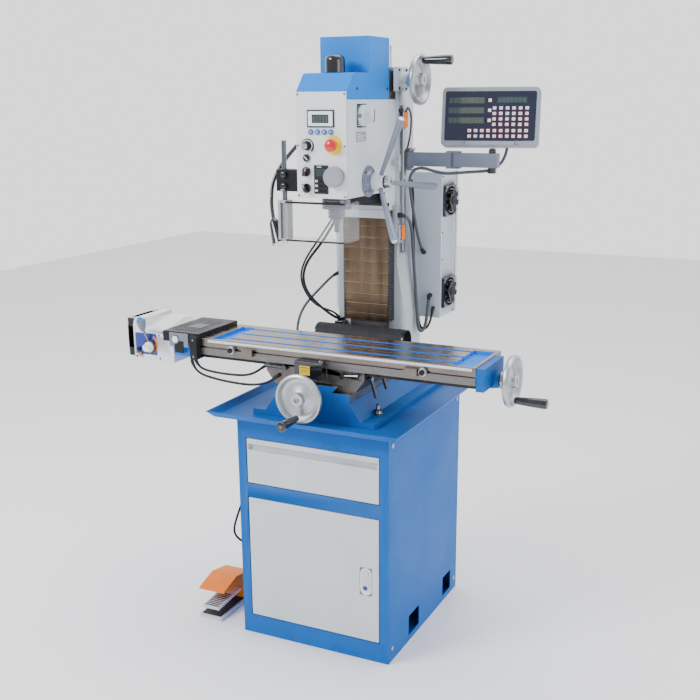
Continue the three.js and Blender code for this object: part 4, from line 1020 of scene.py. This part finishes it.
for col in range(6):
    for row in range(4):
        key(-15 + col * 18.4, 119 - row * 15.2)
for col in range(10):
    for row in range(2):
        key(-84 + col * 17.9, 56 - row * 15.6)
for x in (-152, 98):
    for z in (34, 160):
        dro.lathe(INK, "y", (x, 10, z), [(0, 0.2), (2.4, 0.2), (2.4, -0.4), (0, -0.6)], 16)
for k in range(12):
    dro.box(INK, -120 + k * 8, -116 + k * 8, 55.2, 56.2, 60, 120, 0.3)
dro.done("readout_display", ["readout_display"], "panel_white")

# ---------- electrics ----------
box_piece = Piece("electrics_skin").node("electrics_box", BOXGREY, [
    (NAVY, lambda c, n: c.x > 178.5),
], 1.4)
for z in (984, 1264):
    for k in range(5):
        r = 10 + k * 8.4
        box_piece.lathe(CHROME if k % 2 else BLACK, "x", (187, 308, z), ring(r - 1.1, r + 1.1, 0.2, 1.8), 64)
    for a in range(0, 180, 45):
        spin = Matrix.Translation((0, 308, z)) @ Matrix.Rotation(math.radians(a + 22), 4, "X")
        box_piece.box(BLACK, 187.2, 188.4, -43, 43, -1.0, 1.0, place=spin)
    for k in range(7):
        spin = Matrix.Translation((184, 308, z)) @ Matrix.Rotation(2 * math.pi * k / 7, 4, "X")
        box_piece.box(INK, 2.6, 3.6, -7, 9, 14, 38, 0.4, place=spin @ Matrix.Rotation(0.3, 4, "Y"))
    for y in (268, 348):
        for dz in (-40, 40):
            box_piece.lathe(CHROME, "x", (187, y, z + dz), stud(3, -0.4, 1.2, 2, 2), 16)
for y, z in ((262, 1170), (262, 1088), (358, 1345), (262, 1338), (358, 915)):
    box_piece.lathe(INK, "x", (178, y, z), stud(3, -0.4, 0.8, 2, 1.6), 16)
box_piece.done("stand", ["electrics_box"], "paint_grey")
back = Piece("electrics_door_skin").node("electrics_door", BOXGREY, bevel=1.4)
for z in (1272, 996):
    back.box(PALE, 181.4, 187, 371, 383, z - 26, z + 26, 1.2)
for k in range(9):
    back.box(INK, -60, 60, 383.6, 384.3, 1230 + k * 9, 1233 + k * 9, 0.3)
back.done("electrics_door", ["electrics_door"], "paint_grey")

# ---------- foot switch ----------
foot = Piece("foot_switch_skin").node("foot_switch_base", ORANGE, [(CAST, lambda c, n: c.z < 12.5)], 1.6)
foot.box(RUBBER, -406, -339, -258, -92, 12, 15, 1.0)
foot.done("stand", ["foot_switch_base"], "guard_orange")
pedal = Piece("foot_pedal_skin").node("foot_pedal", CAST, bevel=1.6)
for k in range(9):
    y = -254 + k * 9
    z = 42 + (y + 260) * 12 / 134
    pedal.box(BLACK, -396, -349, y, y + 3.6, z - 0.4, z + 1.5, 0.5)
pedal.done("foot_pedal", ["foot_pedal"], "pedal_grey")


# ---------- floor and light ----------
def lamp_light(name, spot, aim, power, width, colour=(1, 1, 1)):
    data = bpy.data.lights.new(name, "AREA")
    data.energy, data.color = power, colour
    data.shape, data.size, data.size_y = "RECTANGLE", width, width * 0.7
    obj = bpy.data.objects.new(name, data)
    bpy.context.scene.collection.objects.link(obj)
    obj.location = spot
    obj.rotation_euler = (Vector(aim) - Vector(spot)).to_track_quat("-Z", "Y").to_euler()


lamp_light("key", (-2.4, -3.2, 3.4), (0, 0, 1.0), 170, 1.8)
lamp_light("fill", (3.8, -1.6, 1.8), (0, 0, 0.9), 34, 2.2)
lamp_light("top", (0.3, 0.6, 4.2), (0, 0, 0.8), 60, 3.0)
world = bpy.data.worlds.new("studio")
bpy.context.scene.world = world
world.use_nodes = True
sky = world.node_tree.nodes
spread, split = sky.new("ShaderNodeTexCoord"), sky.new("ShaderNodeSeparateXYZ")
band = sky.new("ShaderNodeValToRGB")
world.node_tree.links.new(spread.outputs["Generated"], split.inputs[0])
lift = sky.new("ShaderNodeMapRange")
lift.inputs["From Min"].default_value, lift.inputs["From Max"].default_value = -1.0, 1.0
world.node_tree.links.new(split.outputs["Y"], lift.inputs["Value"])
world.node_tree.links.new(lift.outputs["Result"], band.inputs["Fac"])
band.color_ramp.elements[0].position, band.color_ramp.elements[0].color = 0.30, (0.42, 0.44, 0.48, 1)
band.color_ramp.elements[1].position, band.color_ramp.elements[1].color = 0.62, (1.0, 1.0, 1.0, 1)
world.node_tree.links.new(band.outputs["Color"], sky["Background"].inputs["Color"])
sky["Background"].inputs["Strength"].default_value = 1.7
ground = bmesh.new()
for x, y in ((-6, -6), (6, -6), (6, 8), (-6, 8)):
    ground.verts.new((x, y, -0.0005))
ground.faces.new(ground.verts[:])
plane = bpy.data.meshes.new("floor")
ground.to_mesh(plane)
ground.free()
plane.materials.append(FLOOR)
floor = bpy.data.objects.new("floor", plane)
bpy.context.scene.collection.objects.link(floor)
